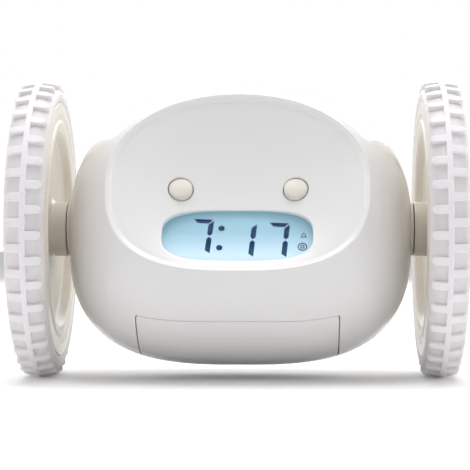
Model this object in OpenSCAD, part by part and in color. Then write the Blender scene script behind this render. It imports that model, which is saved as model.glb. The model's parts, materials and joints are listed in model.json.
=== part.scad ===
// Runaway alarm clock: a rounded clock body hung between two large driven
// wheels. It stands on its tyres, X along the wheel axis, -Y to the front,
// Z up, with the origin on the floor below the axle.

/* [Wheels] */
// Diameter over the lugs of a tyre
wheel_d = 89; // [84:1:92]
// Distance from the side of the body to the middle of a tyre
wheel_x = 8.4; // [7.9:0.1:9.5]
// Width of a tyre
tyre_w = 11.6; // [10.6:0.2:12.4]
// Lugs on each side of a tyre's centre rib
lugs = 38; // [32:1:42]
// Width of a lug along the tread
lug_w = 2.5; // [1.8:0.1:3]
// Depth of the tread from the rib to the pockets
tread_depth = 1.3; // [0.8:0.1:1.8]
// Diameter of the axle shafts
shaft_d = 4; // [3:0.5:4]
// Diameter of the bosses where wheel and body meet
boss_d = 16.4; // [14:0.2:18]

/* [Body] */
// Width of the body
body_w = 103; // [102:0.5:103.5]
// Height of the body above the axle
body_top = 42.4; // [41.6:0.2:43]
// Depth of the body below the axle
body_bottom = 40.9; // [40.6:0.1:41.6]
// Reach of the body in front of the axle
body_front = 41; // [40:0.5:42]
// Reach of the body behind the axle
body_rear = 39; // [38:0.5:41]
// Wall of the moulded shells
wall = 2; // [1.8:0.1:2.4]
// Plane where the two shells meet, behind the axle
seam_y = 6; // [5:0.5:7]

/* [Face] */
// Half the width of the rim round the face
face_w = 39; // [37:0.5:40]
// How far the face is hollowed below its rim
dish = 5.7; // [4.9:0.2:6.1]
// Half the width of the display window
window_w = 21.6; // [20:0.2:22]
// Half the height of the display window
window_h = 8.7; // [7.7:0.2:8.9]
// Diameter of the two eye buttons
eye_d = 7; // [6.4:0.2:7.4]
// Distance of an eye button from the middle
eye_x = 16.7; // [15.1:0.2:17.5]
// Travel of an eye button
eye_travel = 0.6; // [0.4:0.1:0.7]

/* [Batteries] */
// Diameter of a cell
cell_d = 10.5; // [10:0.1:10.5]
// Length of a cell
cell_l = 44.5; // [44:0.1:44.5]
// Width of the battery door
door_w = 58.7; // [56:0.1:60]
// Gap round the battery door
door_gap = 0.25; // [0.2:0.05:0.35]
// Angle below the front at which the battery bay points
bay_angle = 64; // [63:0.5:65]

/* [Drive] */
// Teeth of the gear on a wheel shaft
out_teeth = 48; // [48]
// Teeth of the small idler gear
idler_small = 12; // [12]
// Teeth of the large idler gear
idler_big = 42; // [42]
// Teeth of the motor pinion
pinion_teeth = 10; // [10]
// Diameter of a motor can
motor_d = 15.5; // [14:0.5:15.5]
// Backlash cut from every tooth
tooth_play = 0.16; // [0.12:0.02:0.2]
// Radial clearance of the running shafts
run_fit = 0.04; // [0.02:0.01:0.08]

/* [Back] */
// Diameter of the four set buttons
key_d = 4.8; // [4:0.2:5.4]
// Distance between set buttons
key_pitch = 11.5; // [11:0.5:13]
// Travel of a set button
key_travel = 0.5; // [0.3:0.1:0.5]
// Diameter of the speaker
speaker_d = 21; // [19:1:22]

/* [Hidden] */
$fn = 48;
axle_z = wheel_d / 2;
eps = 0.02;

// Wheel sizes
wheel_mid = body_w / 2 + wheel_x;
tyre_in = wheel_mid - tyre_w / 2;
tyre_out = wheel_mid + tyre_w / 2;
bead_r = wheel_d / 2 - 6.3;
web_in = wheel_mid - 2.3;
web_out = wheel_mid + 0.1;
hub_well = web_out - 0.8;
cap_r = 12.6;
shaft_r = shaft_d / 2;

// Collars that carry the shafts through the body's sides
collar_r = 6;
collar_seat = body_w / 2 - 1.3;
collar_x = body_w / 2 + 0.3;
boss_x = collar_x + 0.3;

// Shell shape: exponents of the body's rounded sections
side_pow = 2.3;
plan_pow = 2.05;
lip_top_w = 20;
lip_bottom_w = 74.5;
lip_plan_w = acos(pow(2 * face_w / body_w, plan_pow / 2));
nu_seam = 2.4;
nl_seam = 3;
nu_lip = 2.12;
nl_lip = 2.8;
seg = 60;

// Rim round the face: steps inwards and outwards from its outer edge
RIM = [[0, 0], [0.5, 0.32], [1.1, 0.4], [1.7, 0.2], [2.2, -0.22], [2.6, -0.8]];
rim_in = 2.6;
rim_drop = 0.8;

// Where the rim's plane lies, from the body's side section
function spow(v, p) = sign(v) * pow(abs(v), p);
function section_pt(w, d, h) = [-d * spow(sin(w), 2 / side_pow), h * spow(cos(w), 2 / side_pow)];

// Angle at which a section of depth d reaches the distance y
function section_w(y, d) = asin(pow(y / d, side_pow / 2));
lip_t = section_pt(lip_top_w, body_front, body_top);
lip_b = section_pt(lip_bottom_w, body_front, -body_bottom);
lip_c = (lip_t + lip_b) / 2;
lip_h = norm(lip_t - lip_b) / 2;
lip_tilt = atan2(lip_t[0] - lip_b[0], lip_t[1] - lip_b[1]);
dish_a = face_w - rim_in;
dish_b = lip_h - rim_in;

// Display plane, in front-to-back order behind the window
window_v = -15;
plane_tilt = 12.7;
plane_n = -4.8;
lens_w = 2 * window_w + 3.4;
lens_h = 2 * window_h + 2.8;
lens_r = 4.6;
lens_t = 1;
glass_t = 2.2;
glass_n = -lens_t - 0.2;
board_n = -10;
holder_top = -2;
board_t = 1.6;
eye_v = 14.9;
eye_top = 3.9;
eye_foot = -2.2;
eye_flange = -1.1;
switch_h = 3.5;

// Battery bay, in the bay's own frame (z outwards through the door)
cell_gap = 0.3;
cell_pitch = cell_d + cell_gap;
cell_out = 32.1;
spring_room = 5.9;
bay_l = cell_l + spring_room;
tray_wall = 1.2;
tray_floor = cell_out - cell_pitch - cell_d / 2 - cell_gap;
tray_top = 35.4;
door_lo = -18.1;
door_hi = 18.7;
door_t = 1.1;
door_seat = 1.3;
door_r = 9.5;
door_arch = 260;

// Gear train, places measured (y, z) from the axle
m_out = 0.6;
m_in = 0.5;
idler_dist = (out_teeth + idler_small) * m_out / 2;
motor_dist = (idler_big + pinion_teeth) * m_in / 2;
idler_dir = 35;
motor_dir = -60;
idler_yz = idler_dist * [cos(idler_dir), sin(idler_dir)];
motor_yz = idler_yz + motor_dist * [cos(motor_dir), sin(motor_dir)];
plate_t = 1.2;
plate_in = bay_l / 2 + tray_wall + 2.2;
plate_out = plate_in + 10;
big_x = plate_in + 1.8;
big_t = 2.3;
out_x = plate_in + 5.6;
out_t = 3.2;
motor_x = plate_in - 23.6;
PILLARS = [[-12, -14], [-6, 17.5], [17, -13]];

// Case screws and the posts they join
POSTS = [[-24, 28], [24, 28], [-31, -24], [31, -24]];
post_r = 3.2;

// Speaker and keys on the back
speaker_z = -10;
speaker_y = 31.2;
key_z = 17;
key_y = 29.8;
key_foot = 0.4;
key_posts_x = 24;

// ---------------------------------------------------------------- frames

// Axle height, with X across the clock
module on_axle() {
  translate([0, 0, axle_z]) children();
}

// Right-hand drive side: z runs outwards along the axle
module on_side(side) {
  on_axle() mirror([side < 0 ? 1 : 0, 0, 0]) rotate([0, 90, 0]) children();
}

// A place (y, z) from the axle, inside on_side()
module at_yz(p) {
  translate([-p[1], p[0], 0]) children();
}

// Plane of the rim: y up the face, z out of it
module on_lip() {
  on_axle() translate([0, lip_c[0], lip_c[1]]) rotate([90 - lip_tilt, 0, 0]) children();
}

// Plane of the display, tipped back from the rim's plane
module on_plane() {
  on_lip() translate([0, window_v, plane_n]) rotate([-plane_tilt, 0, 0]) children();
}

// Battery bay: y towards the front, z outwards through the door
module on_bay() {
  on_axle() rotate([90 + bay_angle, 0, 0]) children();
}

// ---------------------------------------------------------------- shell surface

// One point of a rounded ring: half sizes a and b, exponents above and below
function ring_xy(a, b, nu, nl, t) =
  let (n = sin(t) >= 0 ? nu : nl) [a * spow(cos(t), 2 / n), b * spow(sin(t), 2 / n)];

// Angle of each ring point, evenly spaced
function ring_angle(j) = 360 * (j + 0.5) / seg;

// Ring of the front body at u, from the seam (-1) to the rim (1), inset by k
function front_ring(u, k) =
  let (
    ws = section_w(seam_y, body_front - k),
    wt = u * (u < 0 ? ws : lip_top_w),
    wb = u * (u < 0 ? ws : lip_bottom_w),
    wp = u * (u < 0 ? ws : lip_plan_w),
    top = section_pt(wt, body_front - k, body_top - k),
    bottom = section_pt(wb, body_front - k, -(body_bottom - k)),
    a = (body_w / 2 - k) * pow(cos(wp), 2 / plan_pow),
    c = (top + bottom) / 2,
    h = (top - bottom) / 2,
    f = max(u, 0),
    nu = nu_seam + (nu_lip - nu_seam) * f,
    nl = nl_seam + (nl_lip - nl_seam) * f
  ) [for (j = [0:seg - 1]) let (p = ring_xy(a, 1, nu, nl, ring_angle(j)))
      [p[0], c[0] + h[0] * p[1], c[1] + h[1] * p[1]]];

// Ring of the back of the body at angle w behind the axle, inset by k
function rear_ring(w, k) =
  let (
    p = section_pt(-w, body_rear - k, body_top - k),
    s = pow(cos(w), 2 / side_pow),
    a = (body_w / 2 - k) * pow(cos(w), 2 / plan_pow)
  ) [for (j = [0:seg - 1])
      let (q = ring_xy(a, 1, nu_seam, nl_seam, ring_angle(seg - 1 - j)))
      [q[0], p[0], q[1] * s * (q[1] > 0 ? body_top - k : body_bottom - k)]];

// A point given in the rim's plane, turned into the axle's frame
function lip_pt(x, v, n) =
  [x, lip_c[0] + v * sin(lip_tilt) - n * cos(lip_tilt), lip_c[1] + v * cos(lip_tilt) + n * sin(lip_tilt)];

// Ring of the rounded rim, stepped in by d and out by n
function rim_ring(d, n) =
  [for (j = [0:seg - 1])
    let (p = ring_xy(face_w - d, lip_h - d, nu_lip, nl_lip, ring_angle(j))) lip_pt(p[0], p[1], n)];

// Ring of the hollow face at scale s, k behind its surface
function dish_ring(s, k) =
  [for (j = [0:seg - 1])
    let (
      p = ring_xy(dish_a, dish_b, nu_lip, nl_lip, ring_angle(j)),
      e = pow(p[0] / dish_a, 2) + pow(p[1] / dish_b, 2),
      q = s * s * (e + (1 - e) * pow(s, 4))
    ) lip_pt(p[0] * s, p[1] * s, -rim_drop - dish * (1 - q) - k)];

// Depth of the hollow face at a place on the rim's plane
function dish_n(x, v) =
  let (
    n = v >= 0 ? nu_lip : nl_lip,
    q = pow(x / dish_a, 2) + pow(v / dish_b, 2),
    s = pow(pow(abs(x) / dish_a, n) + pow(abs(v) / dish_b, n), 1 / n)
  ) -rim_drop - dish * (1 - q - (s * s - q) * pow(s, 4));

// Strip of faces between the rings that start at points a and b
function band(a, b) =
  [for (j = [0:seg - 1], h = [0:1])
    let (k = (j + 1) % seg) h == 0 ? [a + j, b + j, b + k] : [a + j, b + k, a + k]];

// Faces from the ring that starts at point a to a pole point
function fan(a, pole) = [for (j = [0:seg - 1]) [a + j, pole, a + (j + 1) % seg]];

// Strips through every ring of a run that starts at ring i and ends at ring e
function run_bands(i, e) = [for (r = [i:1:e - 1]) each band(r * seg, (r + 1) * seg)];

// Solid between rings, closed by a point at its first and its last ring
module spindle(rings, first, last) {
  n = len(rings);
  faces = concat(
    [for (f = fan(0, n * seg)) [f[0], f[2], f[1]]],
    run_bands(0, n - 1),
    fan((n - 1) * seg, n * seg + 1)
  );
  polyhedron(points = concat([for (r = rings) each r], [first, last]), faces = faces, convexity = 6);
}

// Bowl-shaped wall: outer rings to an outer pole, inner pole and rings back
module bowl(outer, outer_pole, inner, inner_pole) {
  n = len(outer);
  m = len(inner);
  p = (n + m) * seg;
  faces = concat(
    run_bands(0, n - 1),
    fan((n - 1) * seg, p),
    [for (f = fan(n * seg, p + 1)) [f[0], f[2], f[1]]],
    run_bands(n, n + m - 1),
    band((n + m - 1) * seg, 0)
  );
  rings = concat(outer, inner);
  polyhedron(points = concat([for (r = rings) each r], [outer_pole, inner_pole]), faces = faces, convexity = 8);
}

FRONT_U = [-1, -0.5, 0, 0.1, 0.22, 0.36, 0.5, 0.64, 0.77, 0.89];
REAR_W = [12, 19, 27, 36, 46, 57, 68, 79];
DISH_S = [0.86, 0.7, 0.54, 0.36, 0.18];

// Front wall: over the body, round the rim, into the face and back inside
module front_wall() {
  bowl(
    concat(
      [for (u = FRONT_U) front_ring(u, 0)],
      [for (r = RIM) rim_ring(r[0], r[1])],
      [for (s = DISH_S) dish_ring(s, 0)]
    ),
    lip_pt(0, 0, -rim_drop - dish),
    concat(
      [for (i = [1:5]) dish_ring(DISH_S[5 - i], wall)],
      [dish_ring(0.97, wall)],
      [for (i = [1:10]) front_ring(FRONT_U[10 - i], wall)]
    ),
    lip_pt(0, 0, -rim_drop - dish - wall)
  );
}

// Rear wall, from the seam to the middle of the back
module rear_wall() {
  w0 = section_w(seam_y + 0.05, body_rear);
  w1 = section_w(seam_y + 0.05, body_rear - wall);
  bowl(
    concat([rear_ring(w0, 0)], [for (w = REAR_W) rear_ring(w, 0)]),
    [0, body_rear, 0],
    concat([for (i = [1:8]) rear_ring(REAR_W[8 - i], wall)], [rear_ring(w1, wall)]),
    [0, body_rear - wall, 0]
  );
}

// The back of the body as one solid
module rear_solid() {
  w0 = section_w(seam_y + 0.05, body_rear);
  spindle(concat([rear_ring(w0, 0)], [for (w = REAR_W) rear_ring(w, 0)]), [0, seam_y + 0.05, 0], [0, body_rear, 0]);
}

// The front body as one solid below its surface by k, up to the rim
module front_solid(k) {
  rings = [for (u = FRONT_U) front_ring(u, k)];
  spindle(rings, [0, seam_y, 0], lip_pt(0, 0, -3.2 - k));
}

// ---------------------------------------------------------------- outlines

// Rounded rectangle, w by h, corners of radius r
module round_rect(w, h, r) {
  square([w - 2 * r, h], center = true);
  square([w, h - 2 * r], center = true);
  for (x = [-1, 1], y = [-1, 1]) translate([x * (w / 2 - r), y * (h / 2 - r)]) circle(r);
}

// Rounded window outline, grown by d
function window_pts(d) =
  [for (i = [0:47]) let (t = i * 7.5, p = ring_xy(window_w + d, window_h + d, 3.1, 3.4, t)) [p[0], p[1] + window_v]];

// Outline of the battery door in the bay's plane, shrunk by d, with low corners
// of radius rl under a gently arched upper edge
module door_outline(d, rl) {
  w = door_w / 2 - d;
  lo = door_lo + d;
  hi = door_hi - d;
  rh = 3;
  intersection() {
    union() {
      translate([-w, lo + rl]) square([2 * w, hi - lo - rl - rh]);
      translate([-w + rl, lo]) square([2 * w - 2 * rl, rl]);
      translate([-w + rh, hi - rh]) square([2 * w - 2 * rh, rh]);
      for (x = [-1, 1]) {
        translate([x * (w - rl), lo + rl]) circle(rl);
        translate([x * (w - rh), hi - rh]) circle(rh);
      }
    }
    translate([0, hi - door_arch]) circle(door_arch, $fn = 360);
  }
}

// ---------------------------------------------------------------- shells

// Wall round the display window, from inside the face back to the lens
module window_collar() {
  n = 48;
  outer = window_pts(1.5);
  inner = window_pts(-0.6);
  function back(p) = plane_n - (p[1] - window_v) * tan(plane_tilt) + 0.04;
  pts = concat(
    [for (p = outer) lip_pt(p[0], p[1], dish_n(p[0], p[1]) - 0.1)],
    [for (p = outer) lip_pt(p[0], p[1], back(p))],
    [for (p = inner) lip_pt(p[0], p[1], back(p))],
    [for (p = inner) lip_pt(p[0], p[1], dish_n(p[0], p[1]) - 0.1)]
  );
  faces = [for (i = [0:3], j = [0:n - 1], h = [0:1])
    let (a = i * n, b = ((i + 1) % 4) * n, k = (j + 1) % n)
    h == 0 ? [a + j, b + k, b + j] : [a + j, a + k, b + k]];
  polyhedron(points = pts, faces = faces, convexity = 4);
}

// Thumb scoop at the lower edge of the battery door
module finger_scoop() {
  on_axle() translate([0, -3.5, -body_bottom - 13.2]) sphere(14);
}

module battery_opening() {
  on_bay() translate([0, 0, 20]) linear_extrude(30) door_outline(2, 7);
}

// Hole and seat for an axle collar in the side of the body
module hub_seat() {
  translate([0, 0, collar_seat - 10]) cylinder(r = collar_r + 0.03, h = 14);
  translate([0, 0, collar_seat]) cylinder(r = boss_d / 2 + 0.05, h = 5);
}

module front_shell() {
  color("ivory") difference() {
    union() {
      on_axle() front_wall();
      on_axle() window_collar();
      on_plane() for (x = [-1, 1]) {
        translate([x * 24.5, 19, board_n]) cylinder(r = 2.4, h = 13.6);
        translate([x * 28, -6, board_n]) cylinder(r = 2.2, h = 10.4);
      }
      on_axle() for (p = POSTS) {
        translate([p[0], seam_y, p[1]]) rotate([90, 0, 0]) cylinder(r = post_r, h = 12);
        translate([p[0] - 0.8, seam_y - 10, p[1] > 0 ? p[1] : p[1] - 12.2]) cube([1.6, 10, p[1] > 0 ? 9.4 : 12.2]);
      }
    }
    on_lip() linear_extrude(height = 24, center = true) polygon(window_pts(0));
    on_plane() translate([0, 0, -3.6]) linear_extrude(3.64) round_rect(lens_w + 0.3, lens_h + 0.3, lens_r + 0.15);
    on_plane() for (x = [-1, 1]) {
      translate([x * eye_x, eye_v, -3]) cylinder(r = eye_d / 2 + 0.2, h = 12);
      translate([x * 24.5, 19, board_n - 1]) cylinder(r = 0.8, h = 8);
      translate([x * 28, -6, board_n - 1]) cylinder(r = 0.8, h = 7);
    }
    difference() {
      on_bay() translate([0, 0, 20]) linear_extrude(30) door_outline(0, door_r);
      on_axle() front_solid(door_seat);
    }
    battery_opening();
    finger_scoop();
    for (s = [-1, 1]) on_side(s) hub_seat();
    on_axle() for (p = POSTS) translate([p[0], seam_y + 1, p[1]]) rotate([90, 0, 0]) cylinder(r = 1.1, h = 9);
  }
}

module rear_shell() {
  color("ivory") difference() {
    union() {
      on_axle() rear_wall();
      on_axle() intersection() {
        union() {
          for (p = POSTS) translate([p[0], seam_y + 0.05, p[1]]) rotate([-90, 0, 0]) cylinder(r = post_r, h = 24);
          for (x = [-1, 1]) translate([x * key_posts_x, key_y - 1.6, key_z]) rotate([-90, 0, 0]) cylinder(r = 2.2, h = 4.4);
          translate([0, speaker_y, speaker_z]) rotate([-90, 0, 0]) difference() {
            cylinder(r = speaker_d / 2 + 1.4, h = 4.6);
            translate([0, 0, -1]) cylinder(r = speaker_d / 2 - 1, h = 7);
          }
        }
        rear_solid();
      }
    }
    on_axle() for (i = [0:3]) translate([(i - 1.5) * key_pitch, 28, key_z]) rotate([-90, 0, 0])
      cylinder(r = key_d / 2 + 0.2, h = 14);
    on_axle() translate([0, speaker_y, speaker_z]) rotate([-90, 0, 0]) {
      translate([0, 0, -2]) cylinder(r = speaker_d / 2 + 0.1, h = 3);
      cylinder(r = 0.8, h = 14);
      for (k = [1:3], i = [0:6 * k - 1]) rotate(i * 60 / k) translate([k * 2.7, 0, 0]) cylinder(r = 0.8, h = 14);
    }
    for (s = [-1, 1]) on_side(s) hub_seat();
    on_axle() for (p = POSTS) translate([p[0], seam_y - 1, p[1]]) rotate([-90, 0, 0]) {
      cylinder(r = 1.3, h = 30);
      translate([0, 0, 9]) cylinder(r = 2.6, h = 30);
    }
    on_axle() for (x = [-1, 1]) translate([x * key_posts_x, key_y - 2, key_z]) rotate([-90, 0, 0]) cylinder(r = 0.8, h = 3);
  }
}

module battery_door() {
  color("ivory") {
    difference() {
      union() {
        difference() {
          intersection() {
            on_axle() front_solid(0);
            on_bay() translate([0, 0, 20]) linear_extrude(30) door_outline(door_gap, door_r);
          }
          on_axle() front_solid(door_t);
        }
        on_bay() translate([-7, -15.6, 36.9]) cube([14, 7.6, 1]);
      }
      finger_scoop();
    }
    on_bay() {
      for (x = [-1, 1]) translate([x * 16 - 3, door_hi - 4.2, 33]) {
        cube([6, 1.2, 5.6]);
        cube([6, 3.6, 0.9]);
      }
      translate([-4, -15.6, 35.6]) cube([8, 1.2, 1.8]);
    }
  }
}

// ---------------------------------------------------------------- display

module window_lens() {
  color("lightcyan") on_plane() translate([0, 0, -lens_t]) linear_extrude(lens_t) round_rect(lens_w, lens_h, lens_r);
}

module lcd_glass() {
  color("powderblue") on_plane() translate([0, 0, glass_n - glass_t]) linear_extrude(glass_t) round_rect(lens_w, lens_h - 0.2, 1);
}

// One stroke of a digit, l long, with pointed ends
module stroke(l, w) {
  polygon([[-l / 2, 0], [-l / 2 + w / 2, w / 2], [l / 2 - w / 2, w / 2], [l / 2, 0], [l / 2 - w / 2, -w / 2], [-l / 2 + w / 2, -w / 2]]);
}

// Leaning digit made of the strokes in the list, numbered like a clock's
digit_h = 11;
digit_w = 5.4;
STROKES = [[0, 1, 0], [0.5, 0.5, 90], [0.5, -0.5, 90], [0, -1, 0], [-0.5, -0.5, 90], [-0.5, 0.5, 90], [0, 0, 0]];
module digit(list) {
  for (k = list) translate([STROKES[k][0] * digit_w + STROKES[k][1] * digit_h / 2 * tan(7), STROKES[k][1] * digit_h / 2])
    rotate(STROKES[k][2] == 0 ? 0 : 83) stroke(STROKES[k][2] == 0 ? digit_w - 0.5 : digit_h / 2 - 0.5, 1.3);
}

module lcd_segments() {
  color("midnightblue") on_plane() translate([0, 1.6, glass_n]) linear_extrude(0.12) {
    translate([-10.4, 0]) digit([0, 1, 2]);
    translate([1.8, 0]) digit([1, 2]);
    translate([11.2, 0]) digit([0, 1, 2]);
    translate([-4.4, 2.6]) circle(0.9);
    translate([-5.1, -3.2]) circle(0.9);
    translate([18.8, 1.2]) circle(1.1);
    translate([18.6, -2.8]) difference() {
      circle(1.5);
      circle(0.8);
    }
  }
}

module lcd_holder() {
  color("gainsboro") on_plane() translate([0, 0, board_n]) difference() {
    linear_extrude(holder_top - board_n) round_rect(lens_w + 2.8, lens_h + 2.2, 2);
    translate([0, 0, -1]) linear_extrude(12) square([lens_w - 4.6, lens_h - 6.2], center = true);
    translate([0, 0, -board_n + glass_n - glass_t]) linear_extrude(6) round_rect(lens_w + 0.1, lens_h - 0.1, 1);
  }
}

module contact_rubber() {
  color("dimgray") on_plane() for (y = [-1, 1])
    translate([3.3 - lens_w / 2, y * (lens_h / 2 - 4.4) - 1.2, board_n]) cube([lens_w - 6.6, 2.4, -board_n + glass_n - glass_t]);
}

module main_board() {
  color("darkgreen") on_plane() translate([0, 0, board_n - board_t]) difference() {
    union() {
      translate([-30.6, -11.5, 0]) cube([61.2, 14, board_t]);
      translate([-27.4, -11.5, 0]) cube([54.8, 33, board_t]);
    }
    for (x = [-1, 1]) {
      translate([x * 24.5, 19, -1]) cylinder(r = 1.1, h = 4);
      translate([x * 28, -6, -1]) cylinder(r = 1.1, h = 4);
    }
  }
}

module clock_chip() {
  color("black") on_plane() translate([0, 0, board_n - board_t - 1.6]) {
    translate([-7, -7, 0]) cube([14, 14, 1.6]);
    translate([11, -2, 0]) cube([8, 3, 1.6]);
    for (i = [0:3]) translate([-19 + i * 2.6, 8, 0]) cube([1.4, 2.6, 1.6]);
  }
}

module eye_switches() {
  color("dimgray") on_plane() for (x = [-1, 1]) translate([x * eye_x, eye_v, board_n]) {
    translate([-2.5, -2.5, 0]) cube([5, 5, switch_h]);
    translate([0, 0, switch_h]) cylinder(r = 1.6, h = eye_foot - eye_travel - 0.15 - board_n - switch_h);
  }
}

module screw(head_r, head_t, shank_r, l) {
  difference() {
    cylinder(r = head_r, h = head_t);
    translate([0, 0, head_t - 0.6]) linear_extrude(1) {
      square([head_r * 1.2, 0.5], center = true);
      square([0.5, head_r * 1.2], center = true);
    }
  }
  translate([0, 0, -l]) cylinder(r = shank_r, h = l + eps);
}

module board_screws() {
  color("silver") on_plane() for (x = [-1, 1]) {
    translate([x * 24.5, 19, board_n - board_t]) rotate([180, 0, 0]) screw(1.8, 1.2, 0.78, 6);
    translate([x * 28, -6, board_n - board_t]) rotate([180, 0, 0]) screw(1.8, 1.2, 0.78, 6);
  }
}

module eye_button(side) {
  color("wheat") on_plane() translate([side * eye_x, eye_v, 0]) {
    difference() {
      translate([0, 0, eye_foot]) cylinder(r = eye_d / 2, h = eye_top - eye_foot);
      translate([0, 0, eye_flange - 2.2]) difference() {
        cylinder(r = 6, h = 2.2);
        cylinder(r = 2, h = 2.2);
      }
      translate([0, 0, eye_top - 14.2]) difference() {
        translate([0, 0, 8]) cylinder(r = 6, h = 7);
        sphere(14.2);
      }
    }
    translate([0, 0, eye_flange]) cylinder(r = eye_d / 2 + 0.6, h = 0.8);
  }
}

// ---------------------------------------------------------------- batteries

module battery_tray() {
  color("gray") on_bay() difference() {
    translate([-bay_l / 2 - tray_wall, -cell_pitch - 0.15 - tray_wall, tray_floor - tray_wall])
      cube([bay_l + 2 * tray_wall, 2 * (cell_pitch + 0.15 + tray_wall), tray_top - tray_floor + tray_wall]);
    translate([-bay_l / 2, -cell_pitch - 0.15, tray_floor])
      cube([bay_l, 2 * (cell_pitch + 0.15), 40]);
  }
}

// Cells lie along X, two deep, heads turned by turns
module at_cells() {
  for (j = [0, 1], i = [0, 1]) {
    flip = (i + j) % 2 == 0 ? 1 : -1;
    translate([0, (i - 0.5) * cell_pitch, cell_out - j * cell_pitch]) mirror([flip < 0 ? 1 : 0, 0, 0]) children();
  }
}

module battery_cells() {
  color("slategray") on_bay() at_cells() translate([bay_l / 2 - 0.5 - cell_l, 0, 0]) rotate([0, 90, 0]) {
    cylinder(r = cell_d / 2 - 0.05, h = cell_l - 1);
    translate([0, 0, cell_l - 1 - eps]) cylinder(r = 1.9, h = 1 + eps);
  }
}

// Bent leaf springs that press the flat ends of the cells
module contact_springs() {
  color("gold") on_bay() at_cells() translate([-bay_l / 2, -2.5, 0]) rotate([-90, 0, 0]) linear_extrude(5)
    polygon([[0, 4], [0.4, 4], [0.4, 0.6], [5.3, -0.6], [5.3, -1.2], [4.6, -2.6], [4.2, -2.4], [4.7, -1], [0, 0.2]]);
}

module contact_plates() {
  color("gold") on_bay() at_cells() translate([bay_l / 2 - 0.45, -3.5, -3.5]) cube([0.45, 7, 7]);
}

// ---------------------------------------------------------------- drive

// Half the angle of a tooth at radius r, on involute flanks
function tooth_half(z, m, r) =
  let (rb = z * m / 2 * cos(20), a = r > rb ? acos(rb / r) : 0)
  90 / z - tooth_play / (z * m) * 180 / PI + (tan(20) - tan(a)) * 180 / PI - 20 + a;

// Gear outline with z teeth of module m, one tooth on the x axis
function gear_pts(z, m, add, ded) =
  let (
    rp = z * m / 2,
    rr = rp - ded * m,
    rt = rp + add * m,
    rs = [rr, max(rp * cos(20), rr + 0.02), rp, (rp + rt) / 2, rt]
  ) [for (i = [0:z - 1], k = [0:9])
      let (
        r = rs[k < 5 ? k : 9 - k],
        a = 360 * i / z + (k < 5 ? -1 : 1) * tooth_half(z, m, r)
      ) [r * cos(a), r * sin(a)]];

// Direction of a place (y, z) inside on_side()
function side_dir(p) = atan2(p[0], -p[1]);

module drive_gear(side) {
  color("white") on_side(side) difference() {
    union() {
      rotate(side_dir(idler_yz)) translate([0, 0, out_x]) linear_extrude(out_t) polygon(gear_pts(out_teeth, m_out, 0.85, 1.2));
      translate([0, 0, out_x - 0.8]) cylinder(r = 4.2, h = out_t + 1.6);
    }
    translate([0, 0, out_x - 2]) cylinder(r = shaft_r, h = out_t + 4);
    for (i = [0:5]) rotate(i * 60) translate([8.6, 0, out_x - 1]) cylinder(r = 2.3, h = out_t + 2);
  }
}

module idler(side) {
  to_motor = side_dir(motor_yz - idler_yz);
  to_out = side_dir(-idler_yz);
  color("white") on_side(side) at_yz(idler_yz) difference() {
    union() {
      rotate(to_motor) translate([0, 0, big_x]) linear_extrude(big_t) polygon(gear_pts(idler_big, m_in, 0.85, 1.2));
      rotate(to_out + 180 / idler_small) translate([0, 0, big_x + 0.1]) linear_extrude(7.2)
        polygon(gear_pts(idler_small, m_out, 1, 1.25));
    }
    translate([0, 0, big_x - 1]) cylinder(r = 1 + run_fit, h = 10);
  }
}

module idler_pins() {
  color("silver") for (s = [-1, 1]) on_side(s) at_yz(idler_yz) translate([0, 0, plate_in])
    cylinder(r = 1, h = plate_out + plate_t - plate_in);
}

module rotor(side) {
  color("silver") on_side(side) at_yz(motor_yz) {
    translate([0, 0, motor_x + 2.6]) cylinder(r = 0.75, h = big_x + big_t + 0.4 - motor_x - 2.6);
    translate([0, 0, motor_x + 6.2]) cylinder(r = 5.8, h = 13);
    translate([0, 0, motor_x + 5]) cylinder(r = 2.2, h = 1.4);
    rotate(side_dir(idler_yz - motor_yz) + 180 / pinion_teeth) translate([0, 0, big_x - 0.3])
      linear_extrude(big_t + 0.5) polygon(gear_pts(pinion_teeth, m_in, 1, 1.25));
  }
}

module motor(side) {
  color("silver") on_side(side) at_yz(motor_yz) difference() {
    translate([0, 0, motor_x + 3.6]) cylinder(r = motor_d / 2, h = plate_in - motor_x - 3.6);
    translate([0, 0, motor_x + 2]) cylinder(r = motor_d / 2 - 0.8, h = plate_in - motor_x - 3);
    cylinder(r = 0.75 + run_fit, h = 40);
  }
}

module motor_cap(side) {
  color("black") on_side(side) at_yz(motor_yz) difference() {
    union() {
      translate([0, 0, motor_x + 1.8]) cylinder(r = motor_d / 2 - 0.3, h = 1.8);
      translate([0, 0, motor_x + 1.8]) cylinder(r = motor_d / 2 - 0.85, h = 2.8);
    }
    translate([0, 0, motor_x + 2.5]) cylinder(r = 0.75 + run_fit, h = 4);
  }
}

// Side plate of a gearbox, with arms to its pillars
module gear_plate_shape(inner) {
  difference() {
    union() {
      polygon([for (p = inner ? [PILLARS[0], PILLARS[2], motor_yz, idler_yz, PILLARS[1]] : [PILLARS[0], PILLARS[2], idler_yz, PILLARS[1]]) [-p[1], p[0]]]);
      for (p = PILLARS) at_yz(p) circle(3.2);
      at_yz(idler_yz) circle(inner ? 5 : 3.6);
      if (inner) at_yz(motor_yz) circle(8.4);
      circle(6);
    }
    circle(shaft_r + run_fit);
    at_yz(idler_yz) circle(1);
    for (p = PILLARS) at_yz(p) circle(0.82);
    if (inner) at_yz(motor_yz) circle(2);
  }
}

module gear_plate_inner(side) {
  color("gray") on_side(side) translate([0, 0, plate_in]) linear_extrude(plate_t) gear_plate_shape(true);
}

module gear_plate_outer(side) {
  color("gray") on_side(side) translate([0, 0, plate_out]) linear_extrude(plate_t) gear_plate_shape(false);
}

module gear_pillars() {
  color("gray") for (s = [-1, 1], p = PILLARS) on_side(s) at_yz(p) translate([0, 0, plate_in + plate_t]) difference() {
    cylinder(r = 2, h = plate_out - plate_in - plate_t);
    translate([0, 0, -1]) cylinder(r = 0.82, h = 12);
  }
}

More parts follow.
